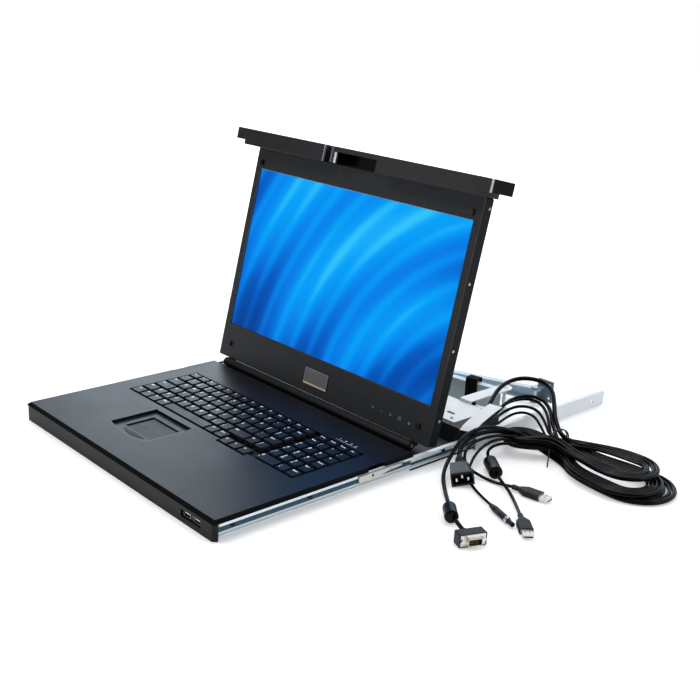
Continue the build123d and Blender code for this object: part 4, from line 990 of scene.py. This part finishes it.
# %% Screws in their places
PLATE_TOP, PLATE_SCREW_BACK, PLATE_SCREW_X = 34.2, 403.0, 175.0
SLIDE_WEB, SLIDE_MIDDLE, SLIDE_SCREWS = 208.5, 14.6, (25.0, 133.0, 352.0, 440.0)
LID_SCREWS = ((247.8, -13.0), (155.4, -8.0), (71.7, -7.0), (-17.2, -12.0))
sides = (-1, 1)
rear_spots = [(on_deck(x, PLATE_SCREW_BACK, PLATE_TOP), UP) for x in (-PLATE_SCREW_X, 0, PLATE_SCREW_X)]
bake_points("rear_plate_screws", pale_screws, rear_spots,
            {"Head radius": 2.9 * MM, "Head height": 1.3 * MM})
slide_spots = [(on_deck(side * SLIDE_WEB, back, SLIDE_MIDDLE), RIGHT * side)
               for side in sides for back in SLIDE_SCREWS]
bake_points("slide_screws", black_screws, slide_spots,
            {"Head radius": 3.2 * MM, "Head height": 1.6 * MM})
lid_spots = [(on_lid(side * LID_HALF, v, n), RIGHT * side) for side in sides for v, n in LID_SCREWS]
bake_points("lid_screws", pale_screws, lid_spots,
            {"Head radius": 1.9 * MM, "Head height": 0.5 * MM}, "lid")

# %% [markdown]
# ## Small parts of the plugs
# The video plug has fifteen pins in three rows and a hex nut at each screw. The flat plugs have
# four contacts. The power plug's strain relief has rings. Pins, nuts and rings are copies again,
# so one more kind of tree makes them: a short prism with eight, six or 24 sides.

# %% Pins, nuts and rings
pin_gold = plated("pin_gold", (0.42, 0.32, 0.16), 0.3)


def prism_tree(name, sides_count, material):
    """Short prisms: pins, nuts or rings, by their number of sides."""
    tree = CopyTree(name, {"Radius": 0.4 * MM, "Depth": 1.0 * MM})
    radius, depth = tree.given("Radius"), tree.given("Depth")
    shape = {"Vertices": sides_count, "Radius Top": radius, "Radius Bottom": radius, "Depth": depth}
    tree.scatter(tree.node("GeometryNodeMeshCone", {}, shape), material)
    return tree


def on_plug(plug, across, up, out):
    """A place in metres on a plug, with distances in millimetres."""
    origin, *axes = plug
    return origin + sum((axis * far for axis, far in zip(axes, (across, up, out))), Vector()) * MM


pins = prism_tree("pins", 8, pin_gold)
nuts = prism_tree("nuts", 6, nickel)
rings = prism_tree("rings", 24, ferrite_rubber)
PIN_PITCH, PIN_ROW_PITCH, PIN_ROW_SHIFT, PIN_OUT, NUT_X = 2.2, 1.95, 0.6, 2.6, 12.4
video_out = VIDEO_PLUG[3]
pin_spots = []
for row in (-1, 0, 1):
    for col in range(-2, 3):
        across = col * PIN_PITCH + row * PIN_ROW_SHIFT
        pin_spots.append((on_plug(VIDEO_PLUG, across, row * PIN_ROW_PITCH, PIN_OUT), video_out))
bake_points("video_pins", pins, pin_spots, {"Depth": 1.2 * MM, "Radius": 0.3 * MM})
nut_spots = [(on_plug(VIDEO_PLUG, side * NUT_X, 0, 0), video_out) for side in sides]
bake_points("video_nuts", nuts, nut_spots, {"Depth": 2.0 * MM, "Radius": 2.9 * MM})
RELIEF_START, RELIEF_PITCH, RELIEF_RADII = 6.5, 3.6, (6.35, 6.0, 5.7, 5.4)
relief_top = on_plug(POWER_PLUG, 0, 0, -30.0)
relief_foot = on_deck(*TAILS["power_cord"][-1])
relief_line = (relief_foot - relief_top).normalized()
for step, radius in enumerate(RELIEF_RADII):
    spot = relief_top + relief_line * (RELIEF_START + RELIEF_PITCH * step) * MM
    bake_points(f"relief_ring_{step + 1}", rings, [(spot, relief_line)],
                {"Depth": 1.8 * MM, "Radius": radius * MM})

# %% Contacts of the flat plugs and of the sockets
CONTACTS_ACROSS = (-3.5, -1.2, 1.2, 3.5)
contacts = bmesh.new()
for plug in USB_PLUGS:
    for across in CONTACTS_ACROSS:
        spot = on_plug(plug, across, -1.6, -1.5)
        add_bar(contacts, spot, plug[1], plug[3], (1.0 * MM, 2.6 * MM), 0.15 * MM)
finish_piece("usb_contacts", contacts, "drawer", pin_gold)

# %% [markdown]
# ## Tag and wire tie
# A folded paper tag lies on the rear plate, round one of the leads. A black wire tie holds the
# bundle together: two turns, and a free end that stands off. Both are plain meshes.

# %% The paper tag
TAG_LINE = [
    (187, 476, 38.5), (190, 462, 37.6), (196, 440, 36.2),
    (203, 418, 35.6), (211, 398, 35.4), (216, 386, 33.5),
]
TAG_HALF, TAG_SHEET = 9.5, 0.5
paper = moulded("paper", (0.93, 0.93, 0.92), 0.75, 0.00004, 500.0)
tag = bmesh.new()
rows = []
for place, after in zip(TAG_LINE, TAG_LINE[1:] + [None]):
    here = on_deck(*place)
    if after:
        along = (on_deck(*after) - here).normalized()
    across = along.cross(UP).normalized()
    above = across.cross(along)
    rows.append([])
    for a, b in ((-1, 0), (1, 0), (1, 1), (-1, 1)):
        corner = here + across * (a * TAG_HALF * MM) + above * (b * TAG_SHEET * MM)
        rows[-1].append(tag.verts.new(corner))
for before, behind in zip(rows, rows[1:]):
    for k in range(4):
        tag.faces.new((before[k], before[(k + 1) % 4], behind[(k + 1) % 4], behind[k]))
tag.faces.new(rows[0])
tag.faces.new(rows[-1])
bmesh.ops.recalc_face_normals(tag, faces=tag.faces)
finish_piece("paper_tag", tag, "drawer", paper)

# %% The wire tie
TIE_TURNS, TIE_STEPS, TIE_LENGTH = 2, 20, 5.0
TIE_HALF_Y, TIE_HALF_Z, TIE_RADIUS = 20.5, 16.8, 0.9
TIE_TAIL = [(294, 457, 16), (301, 447, 9), (307, 438, 4)]
tie_places = []
for step in range(TIE_TURNS * TIE_STEPS + 1):
    turn = 2 * math.pi * step / TIE_STEPS
    x = TIE_X + TIE_LENGTH * (step / (TIE_TURNS * TIE_STEPS) - 0.5)
    height = TIE_HALF_Z * (1 + math.sin(turn)) + 0.8
    tie_places.append((x, TIE_Y - TIE_HALF_Y * math.cos(turn), height))
tie_route = [on_deck(*place) for place in tie_places + TIE_TAIL]
tie_mesh = plain_mesh("wire_tie", smooth_curve("tie_line", tie_route, TIE_RADIUS * MM))
tie_mesh.materials.clear()
tie_mesh.materials.append(ferrite_rubber)
add_piece("wire_tie", tie_mesh, "drawer")

# %% [markdown]
# ## Floor and light
# The drawer stands on a white floor in front of a pale backdrop. The world is bright behind the
# drawer, as such a backdrop is, and darker on the camera's side, so that black paint shows a
# long soft sheen. The camera sees pure white, because floor and world glow for camera rays.

# %% The floor
FLOOR_HALF = 8.0
floor_mesh = bpy.data.meshes.new("floor")
corners = [(-1, -1), (1, -1), (1, 1), (-1, 1)]
floor_mesh.from_pydata([(x * FLOOR_HALF, y * FLOOR_HALF, -0.0004) for x, y in corners], [], [(0, 1, 2, 3)])
floor = bpy.data.objects.new("floor", floor_mesh)
scene.collection.objects.link(floor)
floor_finish = Finish("floor_white")
seen = floor_finish.node("ShaderNodeLightPath", {}, {}, "Is Camera Ray")
fleck = floor_finish.noise(3.0, 2.0)
x, y, _ = floor_finish.parts_of(floor_finish.place)
away = ((x ** 2 + y ** 2) ** 0.5).between(0.75, 1.6)
glow = floor_finish.mix(away, (0.38, 0.38, 0.38), (1.0, 1.0, 1.0))
floor_mesh.materials.append(floor_finish.surface(
    Base_Color=floor_finish.mix(fleck * 0.3, (0.80, 0.80, 0.80), (0.78, 0.78, 0.78)), Roughness=0.7,
    Emission_Color=floor_finish.mix(seen, (0.0, 0.0, 0.0), glow), Emission_Strength=1.0))

# %% The world
BACKDROP, STUDIO = (0.84, 0.92, 1.0), (0.20, 0.20, 0.21)
world = bpy.data.worlds.new("studio")
world.use_nodes = True
scene.world = world
sky = Graph(world.node_tree)
backward = sky.parts_of(sky.node("ShaderNodeTexCoord", {}, {}, "Generated"))[1]
lit = sky.mix(backward.between(-0.25, 0.45), STUDIO, BACKDROP)
seen_rays = [sky.node("ShaderNodeLightPath", {}, {}, f"Is {kind} Ray") for kind in ("Camera", "Transmission")]
shown = sky.mix(either(seen_rays), lit, (1.0, 1.0, 1.0))
sky.tree.links.new(shown.socket, sky.tree.nodes["Background"].inputs["Color"])
print("the camera sees white; the drawer sees", STUDIO, "in front and", BACKDROP, "behind")


# %% The lamps
def soft_lamp(name, place, aim, size, power, colour=(1, 1, 1)):
    """A rectangular soft box that points at a place."""
    lamp = bpy.data.lights.new(name, "AREA")
    lamp.shape = "RECTANGLE"
    lamp.size, lamp.size_y = size
    lamp.energy = power
    lamp.color = colour
    holder = bpy.data.objects.new(name, lamp)
    holder.location = place
    holder.rotation_mode = "QUATERNION"
    holder.rotation_quaternion = (Vector(aim) - Vector(place)).to_track_quat("-Z", "Y")
    scene.collection.objects.link(holder)
    return holder


soft_lamp("top_lamp", (-0.3, 0.1, 2.2), (0, 0, 0.1), (1.8, 1.4), 24.0)
soft_lamp("key_lamp", (-0.7, -1.3, 1.9), (0.1, 0, 0.1), (0.3, 0.3), 12.0)
soft_lamp("side_lamp", (1.9, 0.6, 1.1), (0.2, 0, 0.1), (0.7, 0.5), 5.0)
soft_lamp("sheen_lamp", (-2.2, 1.4, 0.95), (-0.2, -0.1, 0.02), (1.3, 0.8), 10.5, (0.72, 0.87, 1.0))
soft_lamp("card_lamp", (-1.1, -1.45, 0.5), (0.2, 0, 0.3), (0.6, 0.6), 1.6)
scene.view_settings.view_transform = "Standard"
